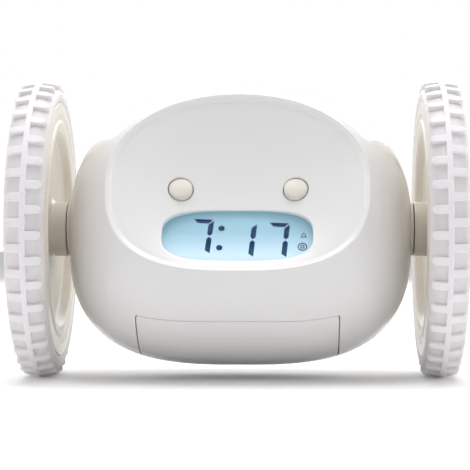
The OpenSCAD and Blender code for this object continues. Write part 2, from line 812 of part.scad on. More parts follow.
module gear_screws() {
  color("silver") for (s = [-1, 1], p = PILLARS) on_side(s) at_yz(p) translate([0, 0, plate_out + plate_t])
    screw(1.7, 1.1, 0.8, 7);
}

module axle(side) {
  color("silver") on_side(side) difference() {
    translate([0, 0, plate_in + 0.2]) cylinder(r = shaft_r, h = hub_well - plate_in - 0.2);
    translate([0, 0, hub_well - 7.2]) cylinder(r = 1, h = 10);
  }
}

module axle_collar(side) {
  color("wheat") on_side(side) difference() {
    union() {
      translate([0, 0, plate_out + plate_t]) cylinder(r = collar_r, h = collar_seat - plate_out - plate_t + eps);
      translate([0, 0, collar_seat]) cylinder(r = boss_d / 2, h = collar_x - collar_seat);
    }
    translate([0, 0, plate_out]) cylinder(r = shaft_r + run_fit, h = collar_x - plate_out + 1);
  }
}

// ---------------------------------------------------------------- wheels

module wheel(side) {
  color("ivory") on_side(side) rotate_extrude($fn = 96) polygon([
    [shaft_r, boss_x], [boss_d / 2, boss_x], [boss_d / 2, web_in - 1.4], [boss_d / 2 + 1, web_in - 0.6],
    [bead_r - 11, web_in], [bead_r - 9.8, web_in - 0.7], [bead_r - 8.6, tyre_in + 0.6],
    [bead_r - 7.8, tyre_in + 0.1], [bead_r - 5.8, tyre_in], [bead_r - 5.3, tyre_in + 0.5],
    [bead_r - 4.1, tyre_in + 0.5], [bead_r - 3.6, tyre_in], [bead_r, tyre_in + 0.2],
    [bead_r, tyre_out - 0.4], [bead_r - 1.8, tyre_out - 0.2], [bead_r - 3, tyre_out - 0.7],
    [bead_r - 6.8, web_out + 1.2], [bead_r - 8.6, web_out + 0.4], [cap_r + 0.8, web_out],
    [3.3, web_out], [3.3, hub_well], [shaft_r, hub_well]
  ]);
}

// Lug: a round-ended block lying across the tread, tipped down to the shoulder
module lug(side) {
  rotate([0, side * 10, 0]) translate([0, 0, -2.4]) linear_extrude(2.4) {
    translate([0, -lug_w / 2]) square([4.4 - lug_w / 2 + 0.5, lug_w]);
    translate([4.9 - lug_w / 2, 0]) circle(lug_w / 2);
  }
}

module tyre(side) {
  r = wheel_d / 2;
  p = r - tread_depth;
  color("whitesmoke") on_side(side) union() {
    rotate_extrude($fn = 96) polygon([
      [bead_r, tyre_in + 0.3], [r - 3.6, tyre_in], [p - 1.3, tyre_in + 0.3], [p - 0.5, tyre_in + 1.6],
      [p, wheel_mid - 2.2], [p, wheel_mid + 2.2], [p - 0.5, tyre_out - 1.6], [p - 1.3, tyre_out - 0.3],
      [r - 3.6, tyre_out], [bead_r, tyre_out - 0.3]
    ]);
    rotate_extrude($fn = 96) polygon([
      [p - 0.5, wheel_mid - 0.95], [r - 0.3, wheel_mid - 0.8], [r, wheel_mid - 0.5],
      [r, wheel_mid + 0.5], [r - 0.3, wheel_mid + 0.8], [p - 0.5, wheel_mid + 0.95]
    ]);
    for (i = [0:lugs - 1], s = [-1, 1])
      rotate((i + (s > 0 ? 0.5 : 0)) * 360 / lugs) translate([r - 0.02, 0, wheel_mid + s * 0.3])
        rotate([0, 90, 0]) rotate(s > 0 ? 180 : 0) lug(1);
  }
}

module wheel_screw(side) {
  color("silver") on_side(side) translate([0, 0, hub_well]) screw(3.1, 1.8, 0.98, 6);
}

module hub_cap(side) {
  color("wheat") on_side(side) translate([0, 0, web_out]) rotate_extrude($fn = 72) polygon([
    [0, 5.3], [4, 5.15], [8, 4.5], [cap_r - 1.6, 3.2], [cap_r, 1.6], [cap_r, 0],
    [cap_r - 1.4, 0], [cap_r - 1.4, 1.4], [8, 2.8], [0, 3.8]
  ]);
}

// ---------------------------------------------------------------- back

module on_speaker() {
  on_axle() translate([0, speaker_y, speaker_z]) rotate([-90, 0, 0]) children();
}

module speaker_frame() {
  color("dimgray") on_speaker() rotate_extrude() polygon([
    [0, -1.8], [8.2, -1.8], [speaker_d / 2, -0.2], [speaker_d / 2, 1], [10.3, 1], [10.3, -0.1], [7.8, -1.2], [0, -1.2]
  ]);
}

module speaker_cone() {
  color("black") on_speaker() rotate_extrude() polygon([
    [0, 0.7], [3, 0.5], [4.2, -0.5], [9.4, 0.6], [10.1, 0.45], [10.1, 0], [9.4, 0.1], [4.4, -0.7], [0, -0.7]
  ]);
}

module speaker_magnet() {
  color("silver") on_speaker() translate([0, 0, -4.2]) cylinder(r = 6.2, h = 2.4);
}

module on_keys() {
  on_axle() translate([0, key_y, key_z]) rotate([-90, 0, 0]) children();
}

module key_board() {
  color("darkgreen") on_keys() translate([0, 0, -3.2]) difference() {
    translate([-26.6, -4, 0]) cube([53.2, 8, 1.6]);
    for (x = [-key_posts_x, key_posts_x]) translate([x, 0, -1]) cylinder(r = 1, h = 4);
  }
}

module key_switches() {
  color("black") on_keys() for (i = [0:3]) translate([(i - 1.5) * key_pitch, 0, -1.6]) {
    translate([-2, -2, 0]) cube([4, 4, 1]);
    cylinder(r = 0.9, h = 1.6 + key_foot - key_travel - 0.1);
  }
}

module set_button(i) {
  color("wheat") on_keys() translate([(i - 2.5) * key_pitch, 0, 0]) {
    translate([0, 0, key_foot]) cylinder(r = key_d / 2, h = abs(i - 2.5) > 1 ? 6 : 7.4);
    translate([0, 0, key_foot]) cylinder(r = key_d / 2 + 0.7, h = 0.6);
  }
}

module case_screws() {
  color("silver") on_axle() for (p = POSTS) translate([p[0], seam_y + 8, p[1]]) rotate([-90, 0, 0])
    screw(2.4, 1.8, 1.08, 14);
}

// ---------------------------------------------------------------- show

front_shell();
rear_shell();
window_lens();
lcd_glass();
lcd_segments();
lcd_holder();
contact_rubber();
main_board();
clock_chip();
eye_switches();
board_screws();
eye_button(-1);  // eye_button_left
eye_button(1);  // eye_button_right
battery_tray();
battery_cells();
contact_springs();
contact_plates();
battery_door();
gear_plate_inner(-1);  // gear_plate_inner_left
gear_plate_inner(1);  // gear_plate_inner_right
gear_plate_outer(-1);  // gear_plate_outer_left
gear_plate_outer(1);  // gear_plate_outer_right
gear_pillars();
gear_screws();
motor(-1);  // motor_left
motor(1);  // motor_right
motor_cap(-1);  // motor_cap_left
motor_cap(1);  // motor_cap_right
rotor(-1);  // rotor_left
rotor(1);  // rotor_right
idler_pins();
idler(-1);  // idler_left
idler(1);  // idler_right
drive_gear(-1);  // drive_gear_left
drive_gear(1);  // drive_gear_right
axle(-1);  // axle_left
axle(1);  // axle_right
axle_collar(-1);  // axle_collar_left
axle_collar(1);  // axle_collar_right
wheel(-1);  // wheel_left
wheel(1);  // wheel_right
tyre(-1);  // tyre_left
tyre(1);  // tyre_right
wheel_screw(-1);  // wheel_screw_left
wheel_screw(1);  // wheel_screw_right
hub_cap(-1);  // hub_cap_left
hub_cap(1);  // hub_cap_right
speaker_frame();
speaker_cone();
speaker_magnet();
key_board();
key_switches();
set_button(1);  // set_button_1
set_button(2);  // set_button_2
set_button(3);  // set_button_3
set_button(4);  // set_button_4
case_screws();
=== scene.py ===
"""Dresses a runaway alarm clock: a white moulded body slung between two treaded wheels.

The case, the tyres, the wheels and the buttons are modelled here at a finer grain than the
frame's own solids, in the same places. Sizes are in millimetres in the classes and become
metres when a mesh is placed.
"""

import json
import logging
import math
from dataclasses import dataclass, field
from enum import Enum
from typing import Callable, Sequence

import bmesh
import bpy
from mathutils import Matrix, Vector
from mathutils.bvhtree import BVHTree


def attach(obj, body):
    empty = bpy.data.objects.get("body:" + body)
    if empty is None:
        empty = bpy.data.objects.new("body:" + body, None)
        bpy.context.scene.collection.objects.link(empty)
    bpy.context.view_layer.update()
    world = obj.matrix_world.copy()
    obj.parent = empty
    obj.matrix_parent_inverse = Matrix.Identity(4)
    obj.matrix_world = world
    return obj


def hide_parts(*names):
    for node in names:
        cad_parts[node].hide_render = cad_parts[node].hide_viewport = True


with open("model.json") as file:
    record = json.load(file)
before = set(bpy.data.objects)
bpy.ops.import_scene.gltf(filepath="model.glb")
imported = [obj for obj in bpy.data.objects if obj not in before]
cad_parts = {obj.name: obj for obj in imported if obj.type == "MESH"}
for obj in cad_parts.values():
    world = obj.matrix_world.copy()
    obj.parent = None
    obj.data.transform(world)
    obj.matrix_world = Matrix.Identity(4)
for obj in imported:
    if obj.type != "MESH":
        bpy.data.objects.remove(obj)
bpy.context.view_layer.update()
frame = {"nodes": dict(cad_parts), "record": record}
MM = 0.001
TO_METRES = Matrix.Scale(MM, 4)

Piece = bpy.types.Object
Material = bpy.types.Material
Node = bpy.types.Node
NodeTree = bpy.types.NodeTree
Socket = bpy.types.NodeSocket
Colour = tuple[float, float, float]
Point = tuple[float, float, float]
Ring = list[Point]
Pair = tuple[float, float]
Outline = list[Pair]
Growing = Callable[[float], Outline]

log = logging.getLogger("alarm_clock")


class Side(Enum):
    """The two ends of the axle: -X and +X."""

    LEFT = -1
    RIGHT = 1

    @property
    def word(self) -> str:
        """The side's name as the frame's nodes write it."""
        return self.name.lower()


# ---------------------------------------------------------------- bench


def signed_power(value: float, power: float) -> float:
    """Raises a size to a power and keeps its sign."""
    return math.copysign(abs(value) ** power, value)


def clear_selection() -> None:
    """Leaves nothing selected, in object mode."""
    if bpy.context.mode != "OBJECT":
        bpy.ops.object.mode_set(mode="OBJECT")
    bpy.ops.object.select_all(action="DESELECT")


def pick(obj: Piece) -> None:
    """Makes one object the only selected one, and the active one."""
    clear_selection()
    obj.hide_set(False)
    obj.select_set(True)
    bpy.context.view_layer.objects.active = obj


def made(name: str) -> Piece:
    """Names the primitive that was added last, and its mesh.

    Args:
        name: Name for the object.

    Returns:
        The new object.
    """
    obj = bpy.context.object
    obj.name = name
    obj.data.name = name
    return obj


def use_modifier(obj: Piece, kind: str, **settings: object) -> None:
    """Adds a modifier to an object, sets it and applies it.

    Args:
        obj: The object to change.
        kind: The modifier's type.
        **settings: The modifier's values by name.
    """
    pick(obj)
    modifier = obj.modifiers.new(kind.title(), kind)
    for name, value in settings.items():
        setattr(modifier, name, value)
    bpy.ops.object.modifier_apply(modifier=modifier.name)


def weld(obj: Piece, distance: float = 1e-7) -> None:
    """Merges an object's doubled points and turns its faces outwards.

    Args:
        obj: The object to close.
        distance: Points nearer than this become one, in metres.
    """
    pick(obj)
    bpy.ops.object.mode_set(mode="EDIT")
    bpy.ops.mesh.select_all(action="SELECT")
    bpy.ops.mesh.remove_doubles(threshold=distance)
    bpy.ops.mesh.normals_make_consistent(inside=False)
    bpy.ops.object.mode_set(mode="OBJECT")


def cut(obj: Piece, cutter: Piece, operation: str = "DIFFERENCE") -> None:
    """Cuts, joins or trims an object with another, which is then deleted.

    Args:
        obj: The object that stays.
        cutter: The closed solid that works on it.
        operation: DIFFERENCE, UNION or INTERSECT.
    """
    use_modifier(obj, "BOOLEAN", object=cutter, operation=operation, solver="MANIFOLD")
    bpy.data.objects.remove(cutter, do_unlink=True)


def join(objects: Sequence[Piece]) -> Piece:
    """Joins objects into the first one.

    Args:
        objects: The objects, the first of which stays.

    Returns:
        The first object.
    """
    pick(objects[0])
    for obj in objects[1:]:
        obj.select_set(True)
    bpy.ops.object.join()
    return objects[0]


def smooth(obj: Piece, angle: float = 30.0, weighted: bool = True) -> None:
    """Shades an object smooth up to an angle, in degrees.

    Args:
        obj: The object to shade.
        angle: Edges sharper than this stay sharp.
        weighted: Whether large faces lead the shading at rounded edges.
    """
    pick(obj)
    bpy.ops.object.shade_smooth_by_angle(angle=math.radians(angle))
    if weighted:
        use_modifier(obj, "WEIGHTED_NORMAL", keep_sharp=True, weight=60)


def place(obj: Piece, matrix: Matrix) -> Piece:
    """Writes a place into an object's mesh, so that its origin stays at the world's.

    Args:
        obj: The object to place.
        matrix: The place, which may scale millimetres to metres.

    Returns:
        The object.
    """
    obj.data.transform(matrix)
    if matrix.determinant() < 0:
        obj.data.flip_normals()
    obj.matrix_world = Matrix.Identity(4)
    return obj


def loft(name: str, rings: Sequence[Ring], closed: bool = False) -> Piece:
    """Lays a sheet of faces over rings of points, as a moulding is lofted.

    Args:
        name: Name for the object.
        rings: Rings with the same number of points, in millimetres from the world's origin.
        closed: Whether the last ring joins the first.

    Returns:
        The lofted object, with its rings closed and its poles merged.
    """
    columns = len(rings[0])
    rows = len(rings) if closed else len(rings) - 1
    clear_selection()
    bpy.ops.mesh.primitive_grid_add(x_subdivisions=columns, y_subdivisions=rows, size=2)
    obj = made(name)
    for vertex in obj.data.vertices:
        i = round((vertex.co.x + 1) / 2 * columns) % columns
        j = round((vertex.co.y + 1) / 2 * rows) % len(rings)
        vertex.co = Vector(rings[j][i]) * MM
    weld(obj)
    return obj


def revolve(name: str, outline: Sequence[Pair], steps: int = 128) -> Piece:
    """Spins an outline about Z into a closed turned piece.

    Args:
        name: Name for the object.
        outline: Points (radius, height) in millimetres. A closed outline repeats its first
            point, or starts and ends on the axis.
        steps: Number of steps round.

    Returns:
        The turned object, in millimetres.
    """
    clear_selection()
    bpy.ops.mesh.primitive_circle_add(vertices=max(len(outline), 3), radius=1, fill_type="NOTHING")
    obj = made(name)
    bpy.ops.object.mode_set(mode="EDIT")
    bpy.ops.mesh.delete(type="EDGE_FACE")
    mesh = bmesh.from_edit_mesh(obj.data)
    for vertex in list(mesh.verts):
        mesh.verts.remove(vertex)
    points = [mesh.verts.new((r, 0, z)) for r, z in outline]
    for a, b in zip(points, points[1:]):
        mesh.edges.new((a, b))
    bmesh.update_edit_mesh(obj.data)
    bpy.ops.mesh.select_all(action="SELECT")
    bpy.ops.mesh.spin(steps=steps, angle=math.tau, center=(0, 0, 0), axis=(0, 0, 1))
    bpy.ops.object.mode_set(mode="OBJECT")
    weld(obj, 1e-4)
    return obj


def rounded(outline: Sequence[Pair], radius: float, steps: int = 4) -> Outline:
    """Rounds the inner corners of an open outline.

    Args:
        outline: The corner points.
        radius: Radius of each corner, less where an edge is short.
        steps: Number of short edges in a corner.

    Returns:
        The outline with its corners rounded.
    """
    points = [Vector(p) for p in outline]
    out = [tuple(points[0])]
    for before, corner, after in zip(points, points[1:], points[2:]):
        a, b = before - corner, after - corner
        reach = min(radius, a.length * 0.45, b.length * 0.45)
        start, end = corner + a.normalized() * reach, corner + b.normalized() * reach
        for k in range(steps + 1):
            t = k / steps
            out.append(tuple((1 - t) ** 2 * start + 2 * t * (1 - t) * corner + t * t * end))
    out.append(tuple(points[-1]))
    return out


def superellipse(a: float, b: float, above: float, below: float, angle: float) -> Pair:
    """One point of a rounded ring.

    Args:
        a: Half its width.
        b: Half its height.
        above: Exponent of its upper half.
        below: Exponent of its lower half.
        angle: Angle of the point, in degrees.

    Returns:
        The point (x, y).
    """
    c, s = math.cos(math.radians(angle)), math.sin(math.radians(angle))
    power = 2 / (above if s >= 0 else below)
    return a * signed_power(c, power), b * signed_power(s, power)


def catmull(a: Vector, b: Vector, c: Vector, d: Vector, t: float) -> Vector:
    """A point between b and c on the smooth curve through a, b, c and d."""
    square, cube = 2 * a - 5 * b + 4 * c - d, 3 * b - a - 3 * c + d
    return 0.5 * (2 * b + (c - a) * t + square * t * t + cube * t ** 3)


def smooth_rings(rings: Sequence[Ring], steps: int) -> list[Ring]:
    """Fills in rings on smooth curves between the second and the last but one.

    Args:
        rings: At least four rings of points.
        steps: Number of rings in each interval.

    Returns:
        The finer run of rings.
    """
    out: list[Ring] = []
    for k in range(1, len(rings) - 2):
        four = [[Vector(p) for p in rings[k + m]] for m in (-1, 0, 1, 2)]
        for s in range(steps):
            out.append([tuple(catmull(*quad, s / steps)) for quad in zip(*four)])
    out.append(list(rings[-2]))
    return out


# ---------------------------------------------------------------- case form


@dataclass(frozen=True)
class CaseForm:
    """The rounded form of the clock's body, as rings of points in millimetres."""

    axle_z: float = 44.5
    width: float = 103.0
    top: float = 42.4
    bottom: float = 40.9
    front: float = 41.0
    rear: float = 39.0
    wall: float = 2.0
    seam_y: float = 6.0
    side_power: float = 2.3
    plan_power: float = 2.05
    lip_top_angle: float = 20.0
    lip_bottom_angle: float = 74.5
    face_half_width: float = 39.0
    rim_in: float = 2.6
    rim_drop: float = 0.8
    dish: float = 5.7
    seam_above: float = 2.4
    seam_below: float = 3.0
    lip_above: float = 2.12
    lip_below: float = 2.8
    window_v: float = -15.0
    display_depth: float = 4.8
    display_tilt: float = 12.7
    bay_angle: float = 64.0
    cap_drop: float = 3.2
    columns: int = 180

    def section(self, angle: float, depth: float, height: float) -> Pair:
        """A point (y, z) of the side section, at an angle in front of the top.

        Args:
            angle: The angle, in degrees.
            depth: How far the section reaches to the front.
            height: How far it reaches up.

        Returns:
            The point.
        """
        s, c = math.sin(math.radians(angle)), math.cos(math.radians(angle))
        power = 2 / self.side_power
        return -depth * signed_power(s, power), height * signed_power(c, power)

    def section_angle(self, y: float, depth: float) -> float:
        """The angle at which a section of that depth reaches y."""
        return math.degrees(math.asin((y / depth) ** (self.side_power / 2)))

    def angles(self) -> list[float]:
        """The angle of each point of a ring."""
        return [360 * (j + 0.5) / self.columns for j in range(self.columns)]

    @property
    def lip_top(self) -> Vector:
        """The rim's highest point (y, z)."""
        return Vector(self.section(self.lip_top_angle, self.front, self.top))

    @property
    def lip_bottom(self) -> Vector:
        """The rim's lowest point (y, z)."""
        return Vector(self.section(self.lip_bottom_angle, self.front, -self.bottom))

    @property
    def lip_half(self) -> float:
        """Half the rim's height in its own plane."""
        return (self.lip_top - self.lip_bottom).length / 2

    @property
    def lip_tilt(self) -> float:
        """How far the rim's plane leans back, in degrees."""
        d = self.lip_top - self.lip_bottom
        return math.degrees(math.atan2(d.x, d.y))

    def lip_matrix(self) -> Matrix:
        """The rim's plane: X across, Y up the face, Z out of it."""
        c = (self.lip_top + self.lip_bottom) / 2
        at = Matrix.Translation((0, c.x, self.axle_z + c.y))
        return at @ Matrix.Rotation(math.radians(90 - self.lip_tilt), 4, "X")

    def lip_point(self, x: float, v: float, n: float) -> Point:
        """A point of the rim's plane in the world, in millimetres."""
        return tuple(self.lip_matrix() @ Vector((x, v, n)))

    def front_ring(self, u: float, inset: float) -> Ring:
        """A ring of the front half of the body.

        Args:
            u: From -1 at the seam to 1 at the face's rim.
            inset: How far the ring lies below the surface.

        Returns:
            The ring's points.
        """
        depth = self.front - inset
        seam = self.section_angle(self.seam_y, depth)
        share = 2 * self.face_half_width / self.width
        plan = math.degrees(math.acos(share ** (self.plan_power / 2)))
        ends = (seam,) * 3 if u < 0 else (self.lip_top_angle, self.lip_bottom_angle, plan)
        at_top, at_bottom, at_plan = (u * end for end in ends)
        top = Vector(self.section(at_top, depth, self.top - inset))
        bottom = Vector(self.section(at_bottom, depth, -(self.bottom - inset)))
        a = (self.width / 2 - inset) * math.cos(math.radians(at_plan)) ** (2 / self.plan_power)
        centre, half = (top + bottom) / 2, (top - bottom) / 2
        f = max(u, 0)
        above = self.seam_above + (self.lip_above - self.seam_above) * f
        below = self.seam_below + (self.lip_below - self.seam_below) * f
        ring = []
        for angle in self.angles():
            x, s = superellipse(a, 1, above, below, angle)
            ring.append((x, centre.x + half.x * s, self.axle_z + centre.y + half.y * s))
        return ring

    def rear_ring(self, w: float, inset: float) -> Ring:
        """A ring of the back of the body, at an angle behind the axle.

        Args:
            w: The angle behind the top, in degrees.
            inset: How far the ring lies below the surface.

        Returns:
            The ring's points.
        """
        y, _ = self.section(-w, self.rear - inset, self.top - inset)
        s = math.cos(math.radians(w)) ** (2 / self.side_power)
        a = (self.width / 2 - inset) * math.cos(math.radians(w)) ** (2 / self.plan_power)
        ring = []
        for angle in self.angles():
            x, z = superellipse(a, 1, self.seam_above, self.seam_below, angle)
            height = (self.top if z > 0 else self.bottom) - inset
            ring.append((x, y, self.axle_z + z * s * height))
        return ring

    def rim_ring(self, d: float, n: float) -> Ring:
        """A ring of the face's rounded rim, stepped in by d and out by n.

        Args:
            d: How far it lies inside the rim's widest line.
            n: How far it lies in front of the rim's plane.

        Returns:
            The ring's points.
        """
        a, b = self.face_half_width - d, self.lip_half - d
        place_on_lip = self.lip_matrix()
        ring = []
        for angle in self.angles():
            x, v = superellipse(a, b, self.lip_above, self.lip_below, angle)
            ring.append(tuple(place_on_lip @ Vector((x, v, n))))
        return ring

    def dish_ring(self, scale: float, behind: float) -> Ring:
        """A ring of the hollow face.

        Args:
            scale: From 1 at the rim to 0 in the middle.
            behind: How far the ring lies behind the surface.

        Returns:
            The ring's points.
        """
        a, b = self.face_half_width - self.rim_in, self.lip_half - self.rim_in
        place_on_lip = self.lip_matrix()
        ring = []
        for angle in self.angles():
            x, v = superellipse(a, b, self.lip_above, self.lip_below, angle)
            e = (x / a) ** 2 + (v / b) ** 2
            q = scale ** 2 * (e + (1 - e) * scale ** 4)
            n = -self.rim_drop - self.dish * (1 - q) - behind
            ring.append(tuple(place_on_lip @ Vector((x * scale, v * scale, n))))
        return ring

    def front_solid(self, inset: float) -> Piece:
        """The front half of the body as one solid below its surface, up to the rim.

        Args:
            inset: How far the solid lies below the surface.

        Returns:
            The solid, in place.
        """
        rings = [self.front_ring(u, inset) for u in spread(-1, 0.97, 40)]
        middle = self.lip_point(0, 0, -self.cap_drop - inset)
        seam = (0.0, self.seam_y, self.axle_z)
        return loft("front_solid", [[seam] * self.columns, *rings, [middle] * self.columns])


def spread(start: float, end: float, count: int) -> list[float]:
    """Evenly spaced numbers from start to end, both included."""
    return [start + (end - start) * k / (count - 1) for k in range(count)]


CASE = CaseForm()
AXLE = Matrix.Translation((0, 0, CASE.axle_z))


def display_matrix() -> Matrix:
    """The display's plane: X across, Y up, Z out through the window."""
    at = Matrix.Translation((0, CASE.window_v, -CASE.display_depth))
    return CASE.lip_matrix() @ at @ Matrix.Rotation(math.radians(-CASE.display_tilt), 4, "X")


def bay_matrix() -> Matrix:
    """The battery bay's plane: X across, Y to the front, Z out through the door."""
    return AXLE @ Matrix.Rotation(math.radians(90 + CASE.bay_angle), 4, "X")


def rear_matrix() -> Matrix:
    """A plane across the axle: X across, Y down, Z out of the back."""
    return AXLE @ Matrix.Rotation(math.radians(-90), 4, "X")


def side_matrix(side: Side) -> Matrix:
    """The axle's frame: Z outwards along it, mirrored on the left."""
    mirror = Matrix.Scale(side.value, 4, (1, 0, 0))
    return AXLE @ mirror @ Matrix.Rotation(math.radians(90), 4, "Y")


# ---------------------------------------------------------------- openings


FAR = 80.0  # how far outside the body a line towards it starts, in millimetres


@dataclass(frozen=True)
class Opening:
    """A hole through a moulded surface, with a rounded edge that follows the surface."""

    outline: Growing
    plane: Matrix
    round: float = 0.3
    depth: float = 8.0
    reach: float = 3.0

    def cutter(self, surface: BVHTree) -> Piece:
        """Makes the closed solid that cuts the opening.

        Args:
            surface: The surface that the opening's edge follows, in metres.

        Returns:
            The cutter, in place.
        """
        r = self.round
        arc = [(r * (1 - math.cos(f)), r * (math.sin(f) - 1)) for f in spread(0, math.pi / 2, 5)]
        profile = [(0.0, -self.depth), *arc, (r, self.reach)]
        normal = (self.plane.to_3x3() @ Vector((0, 0, 1))).normalized()
        rings = []
        for d, t in profile:
            ring = []
            for x, y in self.outline(d):
                foot = self.plane @ Vector((x, y, 0))
                hit = surface.ray_cast((foot + normal * FAR) * MM, -normal)[0]
                ring.append(tuple(hit / MM + normal * t))
            rings.append(ring)
        first, last = (Vector(middle_of(r)) for r in (rings[0], rings[-1]))
        count = len(rings[0])
        return loft("cutter", [[tuple(first)] * count, *rings, [tuple(last)] * count])


def middle_of(ring: Ring) -> Point:
    """The mean of a ring's points."""
    total = sum((Vector(p) for p in ring), Vector((0, 0, 0)))
    return tuple(total / len(ring))


def disc_outline(x: float, y: float, radius: float, count: int = 48) -> Growing:
    """An outline of a round hole.

    Args:
        x: Its middle across.
        y: Its middle up.
        radius: Its radius.
        count: Its number of points.

    Returns:
        A function from the growth of the outline to its points.
    """

    def points(d: float) -> Outline:
        """The circle's points, grown by d."""
        r = radius + d
        turns = [math.tau * k / count for k in range(count)]
        return [(x + r * math.cos(f), y + r * math.sin(f)) for f in turns]

    return points


def surface_of(obj: Piece) -> BVHTree:
    """A tree of an object's faces, for finding the surface along a line.

    Args:
        obj: The object.

    Returns:
        The tree, in metres.
    """
    mesh = bmesh.new()
    mesh.from_mesh(obj.data)
    tree = BVHTree.FromBMesh(mesh)
    mesh.free()
    return tree


def round_cutter(radius: float, low: float, high: float, matrix: Matrix) -> Piece:
    """A turned cutter along Z.

    Args:
        radius: Its radius.
        low: Its lower end.
        high: Its upper end.
        matrix: Its place, in millimetres.

    Returns:
        The cutter, in place.
    """
    obj = revolve("cutter", [(0, low), (radius, low), (radius, high), (0, high)], 72)
    return place(obj, TO_METRES @ matrix)


# ---------------------------------------------------------------- finishes


class NodeBench:
    """Adds nodes to one shader tree and joins them."""

    def __init__(self, tree: NodeTree) -> None:
        """Starts on an emptied tree."""
        self.tree = tree
        tree.nodes.clear()

    def add(self, kind: str, **settings: object) -> Node:
        """Adds a node.

        Args:
            kind: The node's type.
            **settings: Its properties by name.

        Returns:
            The node.
        """
        node = self.tree.nodes.new(kind)
        for name, value in settings.items():
            setattr(node, name, value)
        return node

    def wire(self, start: Socket, end: Socket) -> None:
        """Joins an output to an input."""
        self.tree.links.new(start, end)

    def value(self, node: Node, name: str | int, start: object) -> None:
        """Sets an input to a constant or wires it to an output.

        Args:
            node: The node.
            name: The input's name or number.
            start: The constant or the output.
        """
        if isinstance(start, Socket):
            self.wire(start, node.inputs[name])
        else:
            node.inputs[name].default_value = start

    def math(self, operation: str, a: object, b: object = 0.0) -> Socket:
        """Works out two numbers or outputs, as a new output.

        Args:
            operation: Name of the operation.
            a: The first number or output.
            b: The second one.

        Returns:
            The result.
        """
        node = self.add("ShaderNodeMath", operation=operation)
        self.value(node, 0, a)
        self.value(node, 1, b)
        return node.outputs[0]

    def noise(self, vector: object, scale: float, detail: float = 3.0) -> Socket:
        """A noise pattern on a vector.

        Args:
            vector: The place on the piece.
            scale: Scale of the pattern.
            detail: Its number of octaves.

        Returns:
            The pattern, about 0.5.
        """
        node = self.add("ShaderNodeTexNoise")
        self.wire(vector, node.inputs["Vector"])
        node.inputs["Scale"].default_value = scale
        node.inputs["Detail"].default_value = detail
        return node.outputs["Fac"]

    def ramp(self, start: object, low: float, high: float, at_low: float, at_high: float) -> Socket:
        """Maps a value from one range to another, held at its ends.

        Args:
            start: The value.
            low: Where it starts to rise.
            high: Where it stops.
            at_low: The result at low.
            at_high: The result at high.

        Returns:
            The result.
        """
        node = self.add("ShaderNodeMapRange", clamp=True)
        self.value(node, "Value", start)
        ends = {"From Min": low, "From Max": high, "To Min": at_low, "To Max": at_high}
        for name, number in ends.items():
            node.inputs[name].default_value = number
        return node.outputs["Result"]

    def split(self, vector: Socket) -> bpy.types.bpy_prop_collection:
        """The X, Y and Z of a vector, by name.

        Args:
            vector: The vector.

        Returns:
            The outputs that hold its parts.
        """
        node = self.add("ShaderNodeSeparateXYZ")
        self.wire(vector, node.inputs["Vector"])
        return node.outputs

    def mix(self, share: object, a: object, b: object, blend: str = "MIX") -> Socket:
        """Mixes two colours by a share.

        Args:
            share: The share of the second colour.
            a: The first colour or output.
            b: The second one.
            blend: How they blend.

        Returns:
            The mixed colour.
        """
        node = self.add("ShaderNodeMix", data_type="RGBA", blend_type=blend)
        self.value(node, 0, share)
        for name, start in ((6, a), (7, b)):
            constant = not isinstance(start, Socket)
            self.value(node, name, (*start, 1.0) if constant else start)
        return node.outputs[2]


COLOUR, NUMBER, VECTOR = "NodeSocketColor", "NodeSocketFloat", "NodeSocketVector"


def shared_group(
    name: str, inputs: dict[str, str], outputs: dict[str, str]
) -> tuple[NodeBench, Node, Node]:
    """Starts a shader node group with named sockets.

    Args:
        name: The group's name.
        inputs: Kinds of socket by name: COLOUR, NUMBER or VECTOR.
        outputs: The same for its outputs.

    Returns:
        The bench, the group's input node and its output node.
    """
    tree = bpy.data.node_groups.new(name, "ShaderNodeTree")
    for label, kind in inputs.items():
        tree.interface.new_socket(label, in_out="INPUT", socket_type=kind)
    for label, kind in outputs.items():
        tree.interface.new_socket(label, in_out="OUTPUT", socket_type=kind)
    bench = NodeBench(tree)
    return bench, bench.add("NodeGroupInput"), bench.add("NodeGroupOutput")


def moulded_skin_group() -> NodeTree:
    """Moulded plastic: faint colour drift, rubbed roughness and a fine grain height.

    Returns:
        The group.
    """
    bench, start, end = shared_group(
        "moulded_skin",
        {"Vector": VECTOR, "Colour": COLOUR, "Drift": NUMBER, "Roughness": NUMBER, "Rub": NUMBER,
         "Grain": NUMBER},
        {"Colour": COLOUR, "Roughness": NUMBER, "Height": NUMBER},
    )
    cloud = bench.noise(start.outputs["Vector"], 55, 4)
    fine = bench.noise(start.outputs["Vector"], 2600, 2)
    rub = bench.noise(start.outputs["Vector"], 160, 6)
    drift = bench.math("MULTIPLY", bench.math("SUBTRACT", cloud, 0.5), start.outputs["Drift"])
    shade = bench.add("ShaderNodeHueSaturation")
    bench.wire(start.outputs["Colour"], shade.inputs["Color"])
    bench.wire(bench.math("ADD", drift, 1.0), shade.inputs["Value"])
    bench.wire(shade.outputs["Color"], end.inputs["Colour"])
    rubbed = bench.math("MULTIPLY", bench.ramp(rub, 0.35, 0.75, 0.0, 1.0), start.outputs["Rub"])
    bench.wire(bench.math("ADD", start.outputs["Roughness"], rubbed), end.inputs["Roughness"])
    bench.wire(bench.math("MULTIPLY", fine, start.outputs["Grain"]), end.inputs["Height"])
    return bench.tree


